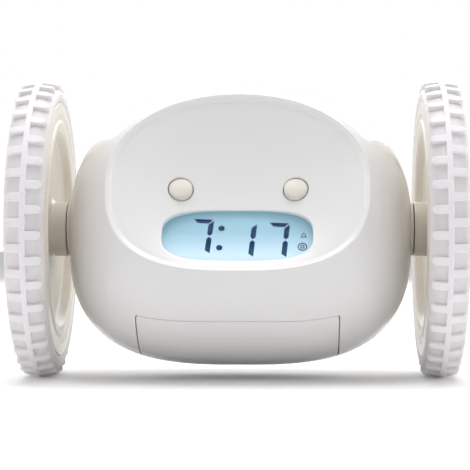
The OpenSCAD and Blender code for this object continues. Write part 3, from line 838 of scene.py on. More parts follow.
def turned_metal_group() -> NodeTree:
    """Plated or ground metal: fine lines across X, spots and a rubbed roughness.

    Returns:
        The group.
    """
    bench, start, end = shared_group(
        "turned_metal",
        {"Vector": VECTOR, "Colour": COLOUR, "Roughness": NUMBER, "Lines": NUMBER},
        {"Colour": COLOUR, "Roughness": NUMBER, "Height": NUMBER},
    )
    stretch = bench.add("ShaderNodeMapping")
    stretch.inputs["Scale"].default_value = (9000, 60, 60)
    bench.wire(start.outputs["Vector"], stretch.inputs["Vector"])
    lines = bench.noise(stretch.outputs["Vector"], 1, 3)
    spots = bench.noise(start.outputs["Vector"], 300, 5)
    tint = bench.add("ShaderNodeHueSaturation")
    bench.wire(start.outputs["Colour"], tint.inputs["Color"])
    bench.wire(bench.ramp(spots, 0.3, 0.8, 1.05, 0.82), tint.inputs["Value"])
    bench.wire(tint.outputs["Color"], end.inputs["Colour"])
    worn = bench.math("ADD", start.outputs["Roughness"], bench.ramp(spots, 0.4, 0.8, 0.0, 0.15))
    bench.wire(worn, end.inputs["Roughness"])
    bench.wire(bench.math("MULTIPLY", lines, start.outputs["Lines"]), end.inputs["Height"])
    return bench.tree


class Groups:
    """Shader node groups that several finishes share, each built once."""

    _makers = {"moulded_skin": moulded_skin_group, "turned_metal": turned_metal_group}

    @classmethod
    def get(cls, name: str) -> NodeTree:
        """The group of that name."""
        return bpy.data.node_groups.get(name) or cls._makers[name]()


@dataclass(frozen=True)
class Finish:
    """A finish of a material slot. The subclasses wire its pattern."""

    name: str
    colour: Colour
    roughness: float = 0.4
    metallic: float = 0.0
    coat: float = 0.0
    bump: float = 0.2
    specular: float = 0.5

    def pattern(self, bench: NodeBench, shader: Node, where: Socket) -> None:
        """Wires the finish's pattern into the shader.

        Args:
            bench: The material's bench.
            shader: Its Principled shader.
            where: The place on the piece.
        """
        raise NotImplementedError

    def material(self) -> Material:
        """The finish's material, made at its first use.

        Returns:
            The material.
        """
        label = f"{self.name}_finish"
        known = bpy.data.materials.get(label)
        if known:
            return known
        material = bpy.data.materials.new(label)
        material.use_nodes = True
        bench = NodeBench(material.node_tree)
        shader = bench.add("ShaderNodeBsdfPrincipled")
        shader.inputs["Metallic"].default_value = self.metallic
        shader.inputs["Coat Weight"].default_value = self.coat
        shader.inputs["Coat Roughness"].default_value = 0.08
        shader.inputs["Specular IOR Level"].default_value = self.specular
        output = bench.add("ShaderNodeOutputMaterial")
        bench.wire(shader.outputs["BSDF"], output.inputs["Surface"])
        where = bench.add("ShaderNodeTexCoord").outputs["Object"]
        self.pattern(bench, shader, where)
        return material

    def uneven_gloss(
        self, bench: NodeBench, shader: Node, where: Socket, scale: float, detail: float
    ) -> None:
        """Wires a faintly uneven roughness into the shader.

        Args:
            bench: The material's bench.
            shader: Its Principled shader.
            where: The place on the piece.
            scale: Scale of the unevenness.
            detail: Its number of octaves.
        """
        cloud = bench.noise(where, scale, detail)
        gloss = bench.ramp(cloud, 0.3, 0.7, self.roughness, self.roughness + 0.1)
        bench.wire(gloss, shader.inputs["Roughness"])

    def raise_bump(self, bench: NodeBench, shader: Node, height: Socket, reach: float) -> None:
        """Wires a height into the shader's normal.

        Args:
            bench: The material's bench.
            shader: Its Principled shader.
            height: The height output.
            reach: The bump's distance, in metres.
        """
        bump = bench.add("ShaderNodeBump")
        bump.inputs["Strength"].default_value = self.bump
        bump.inputs["Distance"].default_value = reach
        bench.wire(height, bump.inputs["Height"])
        bench.wire(bump.outputs["Normal"], shader.inputs["Normal"])


@dataclass(frozen=True)
class MouldedPlastic(Finish):
    """Moulded plastic, from a polished shell to a matte frame."""

    drift: float = 0.04
    rub: float = 0.08
    grain: float = 1.0

    def pattern(self, bench: NodeBench, shader: Node, where: Socket) -> None:
        """Wires the moulded skin into the shader.

        Args:
            bench: The material's bench.
            shader: Its Principled shader.
            where: The place on the piece.
        """
        skin = bench.add("ShaderNodeGroup", node_tree=Groups.get("moulded_skin"))
        bench.wire(where, skin.inputs["Vector"])
        skin.inputs["Colour"].default_value = (*self.colour, 1)
        skin.inputs["Drift"].default_value = self.drift
        skin.inputs["Roughness"].default_value = self.roughness
        skin.inputs["Rub"].default_value = self.rub
        skin.inputs["Grain"].default_value = self.grain
        bench.wire(skin.outputs["Colour"], shader.inputs["Base Color"])
        bench.wire(skin.outputs["Roughness"], shader.inputs["Roughness"])
        self.raise_bump(bench, shader, skin.outputs["Height"], 0.00005)


@dataclass(frozen=True)
class TreadRubber(Finish):
    """Pale tyre rubber with painted shade in the pockets between its lugs, a few random dust spots
    and an uneven roughness.
    """

    crown: float = 0.0445
    pocket: float = 0.0429
    # Brown of the painted shade in the pockets, and of the random dust spots.
    pocket_shade_and_dust: Colour = (0.5, 0.46, 0.42)

    def pattern(self, bench: NodeBench, shader: Node, where: Socket) -> None:
        """Wires the rubber's colour by its distance from the axle, with painted shade in the
        pockets.

        Args:
            bench: The material's bench.
            shader: Its Principled shader.
            where: The place on the piece.
        """
        spot = bench.split(where)
        up = bench.math("SUBTRACT", spot["Z"], self.crown)
        out = bench.math("ABSOLUTE", spot["Y"])
        square = bench.math("ADD", bench.math("MULTIPLY", up, up), bench.math("POWER", out, 2))
        radius = bench.math("SQRT", square)
        # Painted shade: the pockets between the lugs darken towards the brown, deepest at the
        # pocket floor and in uneven patches.
        deep = bench.ramp(radius, self.pocket - 0.0006, self.crown - 0.0003, 0.55, 0.0)
        cloud = bench.noise(where, 120, 4)
        fine = bench.noise(where, 3000, 3)
        painted_pocket_shade = bench.math("MULTIPLY", deep, bench.ramp(cloud, 0.3, 0.7, 0.55, 1.0))
        base = bench.mix(painted_pocket_shade, self.colour, self.pocket_shade_and_dust)
        spots = bench.ramp(bench.noise(where, 700, 4), 0.55, 0.8, 0.0, 0.12)
        bench.wire(bench.mix(spots, base, self.pocket_shade_and_dust), shader.inputs["Base Color"])
        gloss = bench.ramp(fine, 0.3, 0.7, self.roughness - 0.06, self.roughness + 0.08)
        bench.wire(gloss, shader.inputs["Roughness"])
        height = bench.math("ADD", fine, bench.math("MULTIPLY", cloud, 0.5))
        self.raise_bump(bench, shader, height, 0.00006)


@dataclass(frozen=True)
class TurnedMetal(Finish):
    """Plated, ground or brushed metal."""

    metallic: float = 1.0
    lines: float = 1.0

    def pattern(self, bench: NodeBench, shader: Node, where: Socket) -> None:
        """Wires the metal's lines and spots into the shader.

        Args:
            bench: The material's bench.
            shader: Its Principled shader.
            where: The place on the piece.
        """
        group = bench.add("ShaderNodeGroup", node_tree=Groups.get("turned_metal"))
        bench.wire(where, group.inputs["Vector"])
        group.inputs["Colour"].default_value = (*self.colour, 1)
        group.inputs["Roughness"].default_value = self.roughness
        group.inputs["Lines"].default_value = self.lines
        bench.wire(group.outputs["Colour"], shader.inputs["Base Color"])
        bench.wire(group.outputs["Roughness"], shader.inputs["Roughness"])
        self.raise_bump(bench, shader, group.outputs["Height"], 0.00003)


@dataclass(frozen=True)
class ClearWindow(Finish):
    """Clear window plastic with the faintest haze, coated against reflections."""

    index: float = 1.12
    haze: float = 0.015

    def pattern(self, bench: NodeBench, shader: Node, where: Socket) -> None:
        """Sets the clear plastic, which lets lamp light through, and wires its haze.

        Args:
            bench: The material's bench.
            shader: Its Principled shader.
            where: The place on the piece.
        """
        shader.inputs["Base Color"].default_value = (*self.colour, 1)
        shader.inputs["Transmission Weight"].default_value = 1.0
        shader.inputs["IOR"].default_value = self.index
        path = bench.add("ShaderNodeLightPath").outputs
        gap = bench.add("ShaderNodeBsdfTransparent")
        mixer = bench.add("ShaderNodeMixShader")
        passed = bench.math("MAXIMUM", path["Is Shadow Ray"], path["Is Diffuse Ray"])
        bench.wire(passed, mixer.inputs[0])
        bench.wire(shader.outputs["BSDF"], mixer.inputs[1])
        bench.wire(gap.outputs["BSDF"], mixer.inputs[2])
        output = next(node for node in bench.tree.nodes if node.type == "OUTPUT_MATERIAL")
        bench.wire(mixer.outputs["Shader"], output.inputs["Surface"])
        cloud = bench.noise(where, 900, 4)
        haze = bench.ramp(cloud, 0.45, 0.8, self.roughness, self.roughness + self.haze)
        bench.wire(haze, shader.inputs["Roughness"])


@dataclass(frozen=True)
class DisplayGlass(Finish):
    """The display's pale blue panel, with painted shade deepening it towards its upper edge and a
    faint painted glow.
    """

    # Colour of the painted shade at the panel's upper edge, also the colour that the pixel grain
    # leans towards.
    deep: Colour = (0.3, 0.5, 0.6)
    # Heights in metres where the painted shade begins and where it is full.
    painted_light_low_z: float = 0.037
    painted_light_high_z: float = 0.0435
    # Strength of the painted glow.
    glow: float = 0.3

    def pattern(self, bench: NodeBench, shader: Node, where: Socket) -> None:
        """Wires the panel's painted shade gradient, its painted glow and its fine pixel grain.

        Args:
            bench: The material's bench.
            shader: Its Principled shader.
            where: The place on the piece.
        """
        # Painted shade: the panel darkens towards the deep blue near its upper edge, where the
        # window's top wall shades it.
        share = bench.ramp(bench.split(where)["Z"], self.painted_light_low_z, self.painted_light_high_z, 0.0, 1.0)
        base = bench.mix(share, self.colour, self.deep)
        grain = bench.ramp(bench.noise(where, 2500, 2), 0.3, 0.7, 0.0, 0.08)
        colour = bench.mix(grain, base, self.deep)
        bench.wire(colour, shader.inputs["Base Color"])
        bench.wire(colour, shader.inputs["Emission Color"])
        # Painted glow: the panel emits its own colour faintly, though an unlit display gives no
        # light.
        shader.inputs["Emission Strength"].default_value = self.glow
        self.uneven_gloss(bench, shader, where, 800, 3)


@dataclass(frozen=True)
class DisplayInk(Finish):
    """The display's dark segments, with a painted reflection making them greener and paler towards
    their lower ends.
    """

    # Colour of the painted reflection at the segments' lower ends, also the colour that the faint
    # unevenness leans towards.
    painted_reflection_and_tone_teal: Colour = (0.07, 0.26, 0.33)
    painted_light_low_z: float = 0.030
    painted_light_high_z: float = 0.0405

    def pattern(self, bench: NodeBench, shader: Node, where: Socket) -> None:
        """Wires the segments' painted reflection gradient and a faint unevenness.

        Args:
            bench: The material's bench.
            shader: Its Principled shader.
            where: The place on the piece.
        """
        # Painted reflection: the segments turn from navy at the top to pale teal at their lower
        # ends.
        share = bench.ramp(bench.split(where)["Z"], self.painted_light_low_z, self.painted_light_high_z, 0.0, 1.0)
        uneven = bench.ramp(bench.noise(where, 1800, 2), 0.3, 0.7, 0.0, 0.06)
        base = bench.mix(share, self.painted_reflection_and_tone_teal, self.colour)
        bench.wire(bench.mix(uneven, base, self.painted_reflection_and_tone_teal), shader.inputs["Base Color"])
        self.uneven_gloss(bench, shader, where, 900, 2)


@dataclass(frozen=True)
class CircuitBoard(Finish):
    """Solder mask over copper tracks."""

    track: Colour = (0.12, 0.36, 0.2)

    def pattern(self, bench: NodeBench, shader: Node, where: Socket) -> None:
        """Wires the tracks' colour and their height.

        Args:
            bench: The material's bench.
            shader: Its Principled shader.
            where: The place on the piece.
        """
        cells = bench.add("ShaderNodeTexVoronoi", distance="MANHATTAN", feature="DISTANCE_TO_EDGE")
        bench.wire(where, cells.inputs["Vector"])
        cells.inputs["Scale"].default_value = 320
        line = bench.ramp(cells.outputs["Distance"], 0.05, 0.09, 1.0, 0.0)
        bench.wire(bench.mix(line, self.colour, self.track), shader.inputs["Base Color"])
        self.uneven_gloss(bench, shader, where, 500, 3)
        self.raise_bump(bench, shader, line, 0.00004)


SHELL = MouldedPlastic(
    "shell_white", (0.84, 0.83, 0.82), 0.2, coat=0.3, bump=0.05, drift=0.03, rub=0.06
)
CREAM = MouldedPlastic("hub_cream", (0.74, 0.69, 0.6), 0.3, coat=0.1, bump=0.08, drift=0.05)
BUTTON = MouldedPlastic("button_cream", (0.76, 0.72, 0.64), 0.3, coat=0.15, bump=0.1, drift=0.05)
RUBBER = TreadRubber("tyre_white", (0.88, 0.86, 0.89), 0.5, bump=0.3)
WINDOW = ClearWindow("window_clear", (0.97, 0.99, 1.0), 0.0, specular=0.08)
DISPLAY = DisplayGlass("display_glass", (0.6, 0.77, 0.86), 0.5, specular=0.1)
INK = DisplayInk("display_ink", (0.008, 0.035, 0.12), 0.6, specular=0.05)
FINISHES: dict[str, Finish] = {
    f.name: f
    for f in (
        SHELL, CREAM, BUTTON, RUBBER, WINDOW, DISPLAY, INK,
        MouldedPlastic("frame_grey", (0.5, 0.5, 0.49), 0.5, bump=0.3, drift=0.1),
        MouldedPlastic("strip_rubber", (0.08, 0.08, 0.09), 0.7, bump=0.4, drift=0.3),
        MouldedPlastic("chip_black", (0.03, 0.03, 0.033), 0.5, bump=0.5, drift=0.4),
        MouldedPlastic("switch_black", (0.045, 0.045, 0.048), 0.45, bump=0.4, drift=0.3),
        MouldedPlastic("cell_jacket", (0.08, 0.11, 0.16), 0.3, coat=0.4, bump=0.1, drift=0.2),
        MouldedPlastic("gearbox_grey", (0.2, 0.21, 0.22), 0.5, bump=0.3, drift=0.15),
        MouldedPlastic("gear_nylon", (0.78, 0.76, 0.68), 0.42, bump=0.2, drift=0.08),
        MouldedPlastic("cone_paper", (0.04, 0.04, 0.04), 0.85, bump=0.8, drift=0.5, grain=2.0),
        CircuitBoard("board_green", (0.02, 0.13, 0.06), 0.35, bump=0.3),
        TurnedMetal("screw_steel", (0.6, 0.6, 0.61), 0.28, bump=0.15),
        TurnedMetal("shaft_steel", (0.58, 0.58, 0.6), 0.25, bump=0.15),
        TurnedMetal("motor_metal", (0.62, 0.62, 0.62), 0.35, bump=0.25),
        TurnedMetal("contact_metal", (0.68, 0.66, 0.6), 0.22, bump=0.1),
    )
}


def dress(obj: Piece, finish: Finish, body: str, *nodes: str) -> Piece:
    """Gives a finished piece its material and its body, and hides the frame's nodes that it
    replaces.

    Args:
        obj: The finished piece, in place.
        finish: Its finish.
        body: The body that it moves with.
        *nodes: The frame's nodes that it replaces.

    Returns:
        The piece.
    """
    obj.data.materials.clear()
    obj.data.materials.append(finish.material())
    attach(obj, body)
    if nodes:
        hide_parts(*nodes)
    log.info("%s: %d faces on %s", obj.name, len(obj.data.polygons), body)
    return obj


# ---------------------------------------------------------------- case


@dataclass
class Case:
    """The two shells and the battery door."""

    body: str = "clock_body"
    door_body: str = "door"
    door_width: float = 58.7
    door_low: float = -18.1
    door_high: float = 18.7
    door_thickness: float = 1.1
    door_seat: float = 1.3
    door_gap: float = 0.25
    low_radius: float = 9.5
    high_radius: float = 3.0
    door_arch: float = 260.0
    window_half: Pair = (21.6, 8.7)
    lens_half: Pair = (23.45, 10.25)
    eye_x: float = 16.7
    eye_v: float = 14.9
    eye_radius: float = 3.5
    boss_radius: float = 8.2
    collar_seat: float = 50.2
    collar_hole: float = 6.03
    scoop_radius: float = 14.0
    scoop_y: float = -3.5
    scoop_below: float = 13.2
    hook_x: float = 16.0
    well_radius: float = 2.6
    posts: tuple[Pair, ...] = ((-24, 28), (24, 28), (-31, -24), (31, -24))
    key_pitch: float = 11.5
    key_z: float = 17.0
    key_radius: float = 2.4
    speaker_z: float = -10.0
    hole_pitch: float = 2.7
    hole_radius: float = 0.8

    def window_outline(self, d: float) -> Outline:
        """The display window's outline on the rim's plane, grown by d.

        Args:
            d: How far it is grown.

        Returns:
            Its points.
        """
        a, b = self.window_half
        ring = [superellipse(a + d, b + d, 3.1, 3.4, t) for t in spread(0, 360, 121)[:-1]]
        return [(x, v + CASE.window_v) for x, v in ring]

    def door_outline(self, d: float, low_radius: float = 0.0) -> Outline:
        """The battery door's outline on the bay's plane.

        Args:
            d: How far it is grown.
            low_radius: Radius of its lower corners, or 0 for the door's own.

        Returns:
            Its points, under a gently arched upper edge.
        """
        w, lo, hi = self.door_width / 2 + d, self.door_low - d, self.door_high + d
        low = low_radius or self.low_radius
        corners = (
            (w - self.high_radius, hi - self.high_radius, self.high_radius, 0),
            (-w + self.high_radius, hi - self.high_radius, self.high_radius, 90),
            (-w + low, lo + low, low, 180),
            (w - low, lo + low, low, 270),
        )
        arcs = []
        for cx, cy, r, start in corners:
            turn = [math.radians(f) for f in spread(start, start + 90, 9)]
            arcs.append([(cx + r * math.cos(f), cy + r * math.sin(f)) for f in turn])
        points = []
        for arc, after, count in zip(arcs, arcs[1:] + arcs[:1], (28, 12, 24, 12)):
            points += arc + along(arc[-1], after[0], count)[1:]
        arch = self.door_arch
        return [(x, min(y, hi - arch + math.sqrt(arch * arch - x * x))) for x, y in points]

    def seam_rings(
        self, ring: Callable[[float, float], Ring], edge: float, inner: float
    ) -> list[Ring]:
        """The rounded edge of a shell at the seam.

        Args:
            ring: The shell's ring function.
            edge: The ring's position at the seam.
            inner: A position a little way from the seam.

        Returns:
            Rings from the seam inwards.
        """
        steps = ((0.0, 0.5), (0.04, 0.22), (0.12, 0.08), (0.25, 0.02), (0.4, 0.0))
        return [ring(edge + (inner - edge) * t, k) for t, k in steps]

    def front_wall(self) -> Piece:
        """The front shell's wall without its openings.

        Returns:
            The wall, in place.
        """
        c = CASE
        outer = self.seam_rings(c.front_ring, -1.0, -0.8)
        outer += [c.front_ring(u, 0) for u in spread(-0.86, 0.8, 46)]
        rim = ((0.6, 0.2), (1.2, 0.2), (1.8, 0.0), (2.3, -0.36))
        lip = [c.front_ring(u, 0) for u in (0.8, 0.88)]
        lip += [c.rim_ring(d, n) for d, n in rim]
        lip += [c.dish_ring(s, 0) for s in (0.995, 0.95, 0.9)]
        face = [c.dish_ring(s, 0) for s in spread(0.93, 0.04, 30)]
        pole = c.lip_point(0, 0, -c.rim_drop - c.dish)
        back = c.lip_point(0, 0, -c.rim_drop - c.dish - c.wall)
        inner = [c.dish_ring(s, c.wall) for s in spread(0.05, 0.97, 12)]
        inner += [c.front_ring(u, c.wall) for u in spread(0.89, -1, 24)]
        poles = [[pole] * c.columns, [back] * c.columns]
        rings = [*outer, *smooth_rings(lip, 5), *face[1:], *poles, *inner]
        return loft("front_shell_moulding", rings, closed=True)

    def front_shell(self) -> Piece:
        """The front shell with its window, eye holes, door recess and hub seats.

        Returns:
            The dressed shell.
        """
        shell = self.front_wall()
        surface = surface_of(shell)
        lip, plane = CASE.lip_matrix(), display_matrix()
        place_on_lip = TO_METRES @ lip
        tan = math.tan(math.radians(CASE.display_tilt))
        inward = -(lip.to_3x3() @ Vector((0, 0, 1)))
        rings = []
        for d, at_face in ((1.5, True), (1.5, False), (-0.6, False), (-0.6, True)):
            ring = []
            for x, v in self.window_outline(d):
                hit = surface.ray_cast(place_on_lip @ Vector((x, v, FAR / 2)), inward)[0]
                back = 0.04 - CASE.display_depth - (v - CASE.window_v) * tan
                depth = (place_on_lip.inverted() @ hit).z - 0.1 if at_face else back
                ring.append(tuple(lip @ Vector((x, v, depth))))
            rings.append(ring)
        cut(shell, loft("collar", rings, closed=True), "UNION")
        cut(shell, Opening(self.window_outline, lip, 0.35).cutter(surface))
        w, h = self.lens_half
        cut(shell, block((-w, -h, -3.6), (w, h, 0.04), TO_METRES @ plane, 0.02))
        for s in (-1, 1):
            hole = disc_outline(s * self.eye_x, self.eye_v, self.eye_radius + 0.2)
            cut(shell, Opening(hole, plane, 0.3, depth=6).cutter(surface))
        bay = bay_matrix()
        recess = Opening(self.door_outline, bay, 0.25, depth=8).cutter(surface)
        cut(recess, CASE.front_solid(self.door_seat))
        cut(shell, recess)
        way = Opening(lambda d: self.door_outline(d - 2, 7.0), bay, 0.0001, depth=9, reach=0.5)
        cut(shell, way.cutter(surface))
        cut(shell, self.scoop())
        for side in Side:
            cut(shell, round_cutter(self.collar_hole, 40, 54, side_matrix(side)))
            cut(shell, self.collar_cutter(side))
        smooth(shell, 28)
        return dress(shell, SHELL, self.body, "front_shell")

    def collar_cutter(self, side: Side) -> Piece:
        """The round seat of a collar in the body's side."""
        return round_cutter(self.boss_radius + 0.05, self.collar_seat, 55.2, side_matrix(side))

    def scoop(self) -> Piece:
        """The ball that cuts the thumb scoop at the door's lower edge.

        Returns:
            The ball, in place.
        """
        clear_selection()
        height = CASE.axle_z - CASE.bottom - self.scoop_below
        bpy.ops.mesh.primitive_uv_sphere_add(
            segments=96, ring_count=64, radius=self.scoop_radius * MM,
            location=Vector((0, self.scoop_y, height)) * MM,
        )
        obj = made("scoop")
        place(obj, obj.matrix_world.copy())
        return obj

    def battery_door(self) -> Piece:
        """The door: the body's own skin inside its outline, with its tabs and tongue.

        Returns:
            The dressed door.
        """
        skin = CASE.front_solid(0)
        surface = surface_of(skin)
        edge = Opening(lambda d: self.door_outline(-self.door_gap - d), bay_matrix(), 0.25, depth=9)
        cut(skin, edge.cutter(surface), "INTERSECT")
        cut(skin, CASE.front_solid(self.door_thickness))
        bay = TO_METRES @ bay_matrix()
        cut(skin, block((-7, -15.6, 36.9), (7, -8, 37.9), bay, 0.2), "UNION")
        cut(skin, self.scoop())
        high = self.door_high - 4.2
        for x in (-self.hook_x, self.hook_x):
            cut(skin, block((x - 3, high, 33), (x + 3, high + 1.2, 38.6), bay, 0.15), "UNION")
            cut(skin, block((x - 3, high, 33), (x + 3, high + 3.6, 33.9), bay, 0.15), "UNION")
        cut(skin, block((-4, -15.6, 35.6), (4, -14.4, 37.4), bay, 0.1), "UNION")
        skin.name = skin.data.name = "battery_door_moulding"
        smooth(skin, 28)
        return dress(skin, SHELL, self.door_body, "battery_door")

    def rear_shell(self) -> Piece:
        """The rear shell with its screw wells, key holes and speaker holes.

        Returns:
            The dressed shell.
        """
        c = CASE
        seam = c.section_angle(c.seam_y + 0.05, c.rear)
        inner = c.section_angle(c.seam_y + 0.05, c.rear - c.wall)
        outer = self.seam_rings(c.rear_ring, seam, seam + 2.5)
        outer += [c.rear_ring(w, 0) for w in spread(seam + 1.5, 88.5, 42)]
        inside = [c.rear_ring(w, c.wall) for w in (*spread(88, inner + 1, 22), inner)]
        pole, back = (0, c.rear, c.axle_z), (0, c.rear - c.wall, c.axle_z)
        rings = [*outer, [pole] * c.columns, [back] * c.columns, *inside]
        shell = loft("rear_shell_moulding", rings, closed=True)
        surface = surface_of(shell)
        plane = rear_matrix()
        keys = [(i - 1.5) * self.key_pitch for i in range(4)]
        holes = [(disc_outline(x, -self.key_z, self.key_radius + 0.2), 0.25) for x in keys]
        holes += [(disc_outline(x, -z, self.well_radius), 0.35) for x, z in self.posts]
        for k in range(4):
            count = max(6 * k, 1)
            for f in (math.tau * i / count for i in range(count)):
                x, y = k * self.hole_pitch * math.cos(f), k * self.hole_pitch * math.sin(f)
                holes.append((disc_outline(x, y - self.speaker_z, self.hole_radius, 24), 0.15))
        openings = [Opening(outline, plane, edge, depth=4) for outline, edge in holes]
        cut(shell, join([opening.cutter(surface) for opening in openings]))
        for side in Side:
            cut(shell, self.collar_cutter(side))
        r = self.well_radius
        well = [(1.3, 15), (3.2, 15), (3.2, 24), (r, 24), (r, 15.2), (1.3, 15.2), (1.3, 15)]
        for x, z in self.posts:
            post = revolve("well", well, 64)
            place(post, TO_METRES @ plane @ Matrix.Translation((x, -z, 0)))
            shell = join([shell, post])
        smooth(shell, 28)
        return dress(shell, SHELL, self.body, "rear_shell")

    def build(self) -> None:
        """Builds the case."""
        self.front_shell()
        self.rear_shell()
        self.battery_door()


def along(a: Pair, b: Pair, count: int) -> Outline:
    """Evenly spaced points from a towards b, without b."""
    dx, dy = b[0] - a[0], b[1] - a[1]
    return [(a[0] + dx * k / count, a[1] + dy * k / count) for k in range(count)]


def block(low: Point, high: Point, matrix: Matrix, edge: float) -> Piece:
    """A block with bevelled edges between two corners.

    Args:
        low: Its lowest corner, in millimetres.
        high: Its highest corner.
        matrix: Its place, which scales to metres.
        edge: Width of its bevels.

    Returns:
        The block, in place.
    """
    clear_selection()
    bpy.ops.mesh.primitive_cube_add(size=1)
    obj = made("block")
    size = Vector(high) - Vector(low)
    centre = (Vector(high) + Vector(low)) / 2
    obj.data.transform(Matrix.Translation(centre) @ Matrix.Diagonal((*size, 1)))
    use_modifier(obj, "BEVEL", width=edge, segments=2, limit_method="ANGLE")
    return place(obj, matrix)


# ---------------------------------------------------------------- wheels


@dataclass
class DriveWheel:
    """A treaded wheel, its hub cap and its disc, at one end of the axle."""

    side: Side
    radius: float = 44.5
    middle: float = 59.9
    width: float = 11.6
    lugs: int = 38
    lug_width: float = 2.5
    lug_reach: float = 5.2
    rib: float = 1.6
    tread_depth: float = 1.3
    shoulder: float = 10.0
    edge: float = 0.32
    root: float = 1.6
    bead: float = 38.2

    @property
    def body(self) -> str:
        """The body that the wheel turns with."""
        return f"wheel_set_{self.side.word}"

    @property
    def pitch(self) -> float:
        """The distance from one lug to the next, round the tread."""
        return math.tau * self.radius / self.lugs

    @property
    def cell_height(self) -> float:
        """The height of a lug with its root in the tyre."""
        return self.tread_depth + self.root

    def crown_radius(self, v: float) -> float:
        """The tread's radius at a distance from the tyre's middle, over the lugs."""
        slope = math.tan(math.radians(self.shoulder))
        return self.radius - max(abs(v) - 0.8, 0) * slope * (0.6 + 0.09 * abs(v))

    def cell_outline(self) -> Outline:
        """One pitch of the tread: a length of rib with a lug to each side, half a pitch apart.

        Returns:
            Its points, along the rib and across it.
        """
        p, r, w = self.pitch, self.rib / 2, self.lug_width / 2
        half = self.lug_reach - w

        def lug(centre: float, sign: int) -> Outline:
            """The round-ended outline of one lug, along the rib's direction.

            Args:
                centre: Its middle along the rib.
                sign: Which side of the rib it is on.

            Returns:
                Its points.
            """
            turns = spread(0, math.pi, 9)
            arc = [(centre - w * math.cos(f), half + w * math.sin(f)) for f in turns]
            points = [(centre - w, r), *arc, (centre + w, r)]
            return [(u, sign * v) for u, v in (points if sign > 0 else points[::-1])]

        upper = [(0, r), *lug(p / 4, 1), (p * 0.55, r), (p * 0.78, r), (p, r)]
        lower = [(p, -r), *lug(p * 3 / 4, -1), (p * 0.45, -r), (p * 0.22, -r), (0, -r)]
        return upper + lower

    def tread_cell(self) -> Piece:
        """One pitch of tread, flat, with bevelled upper edges.

        Returns:
            The cell, in millimetres, open at its ends.
        """
        outline = self.cell_outline()
        top, pitch, tiny = self.cell_height, self.pitch, 1e-4
        clear_selection()
        bpy.ops.mesh.primitive_circle_add(vertices=len(outline), radius=1, fill_type="NGON")
        obj = made("tread_cell")
        for vertex, (u, v) in zip(obj.data.vertices, outline):
            vertex.co = (u, v, 0)
        bpy.ops.object.mode_set(mode="EDIT")
        bpy.ops.mesh.select_all(action="SELECT")
        bpy.ops.mesh.normals_make_consistent(inside=False)
        bpy.ops.mesh.extrude_region_move(TRANSFORM_OT_translate={"value": (0, 0, top)})
        mesh = bmesh.from_edit_mesh(obj.data)
        bpy.ops.mesh.select_all(action="DESELECT")
        for edge in mesh.edges:
            a, b = (v.co for v in edge.verts)
            on_top = min(a.z, b.z) > top - tiny and len(edge.link_faces) == 2
            at_end = abs(a.x - b.x) < tiny and (abs(a.x) < tiny or abs(a.x - pitch) < tiny)
            if on_top and not at_end and any(abs(f.normal.z) < 0.5 for f in edge.link_faces):
                edge.select_set(True)
        bmesh.update_edit_mesh(obj.data)
        bpy.ops.mesh.bevel(offset=self.edge, segments=3, affect="EDGES")
        mesh = bmesh.from_edit_mesh(obj.data)
        ends = [
            face for face in mesh.faces
            if any(all(abs(v.co.x - x) < tiny for v in face.verts) for x in (0, pitch))
        ]
        bmesh.ops.delete(mesh, geom=ends, context="FACES_ONLY")
        bmesh.update_edit_mesh(obj.data)
        bpy.ops.object.mode_set(mode="OBJECT")
        use_modifier(obj, "TRIANGULATE", quad_method="BEAUTY")
        return obj

    def tread(self) -> Piece:
        """The whole tread: the cell laid round the wheel and welded, in millimetres.

        Returns:
            The tread.
        """
        cell = self.tread_cell()
        use_modifier(
            cell, "ARRAY", count=self.lugs, use_relative_offset=False, use_constant_offset=True,
            constant_offset_displace=(self.pitch, 0, 0), use_merge_vertices=True,
            merge_threshold=0.001,
        )
        for vertex in cell.data.vertices:
            u, v, h = vertex.co
            r = self.crown_radius(v) - (self.cell_height - h)
            f = u / self.radius
            vertex.co = (r * math.cos(f), r * math.sin(f), self.middle + v)
        weld(cell, 1e-3)
        return cell

    def carcass_outline(self) -> Outline:
        """The tyre's section without its tread, as (radius, place along the axle).

        Returns:
            Its points.
        """
        r, p, half = self.radius, self.radius - self.tread_depth, self.width / 2
        right = [
            (p, 0.0), (p - 0.1, 2.2), (p - 0.75, half - 1.5), (p - 1.5, half - 0.5),
            (r - 4.2, half), (self.bead + 0.5, half - 0.1), (self.bead, half - 0.6),
        ]
        left = [(a, -b) for a, b in right[::-1]]
        return [(a, self.middle + b) for a, b in [*left, *right[1:]]]

    def tyre(self) -> Piece:
        """The tyre with its tread.

        Returns:
            The dressed tyre.
        """
        outline = rounded(self.carcass_outline(), 1.6, 5)
        carcass = revolve(f"tyre_{self.side.word}_rubber", [*outline, outline[0]], 228)
        cut(carcass, self.tread(), "UNION")
        place(carcass, TO_METRES @ side_matrix(self.side))
        smooth(carcass, 32)
        return dress(carcass, RUBBER, self.body, f"tyre_{self.side.word}")

    def disc(self) -> Piece:
        """The moulded wheel with its boss, its dished web and its bead seat.

        Returns:
            The dressed wheel.
        """
        corners = [
            (2, 52.1), (8.2, 52.1), (8.2, 56.2), (9.2, 57), (27.2, 57.6), (28.4, 56.9),
            (29.6, 54.7), (30.4, 54.2), (32.4, 54.1), (32.9, 54.6), (34.1, 54.6), (34.6, 54.1),
            (38.2, 54.3), (38.2, 65.3), (36.4, 65.5), (35.2, 65), (31.4, 61.2), (29.6, 60.4),
            (13.4, 60), (3.3, 60), (3.3, 59.2), (2, 59.2), (2, 52.1),
        ]
        obj = revolve(f"wheel_{self.side.word}_moulding", rounded(corners, 0.35, 3), 160)
        place(obj, TO_METRES @ side_matrix(self.side))
        smooth(obj, 32)
        return dress(obj, CREAM, self.body, f"wheel_{self.side.word}")

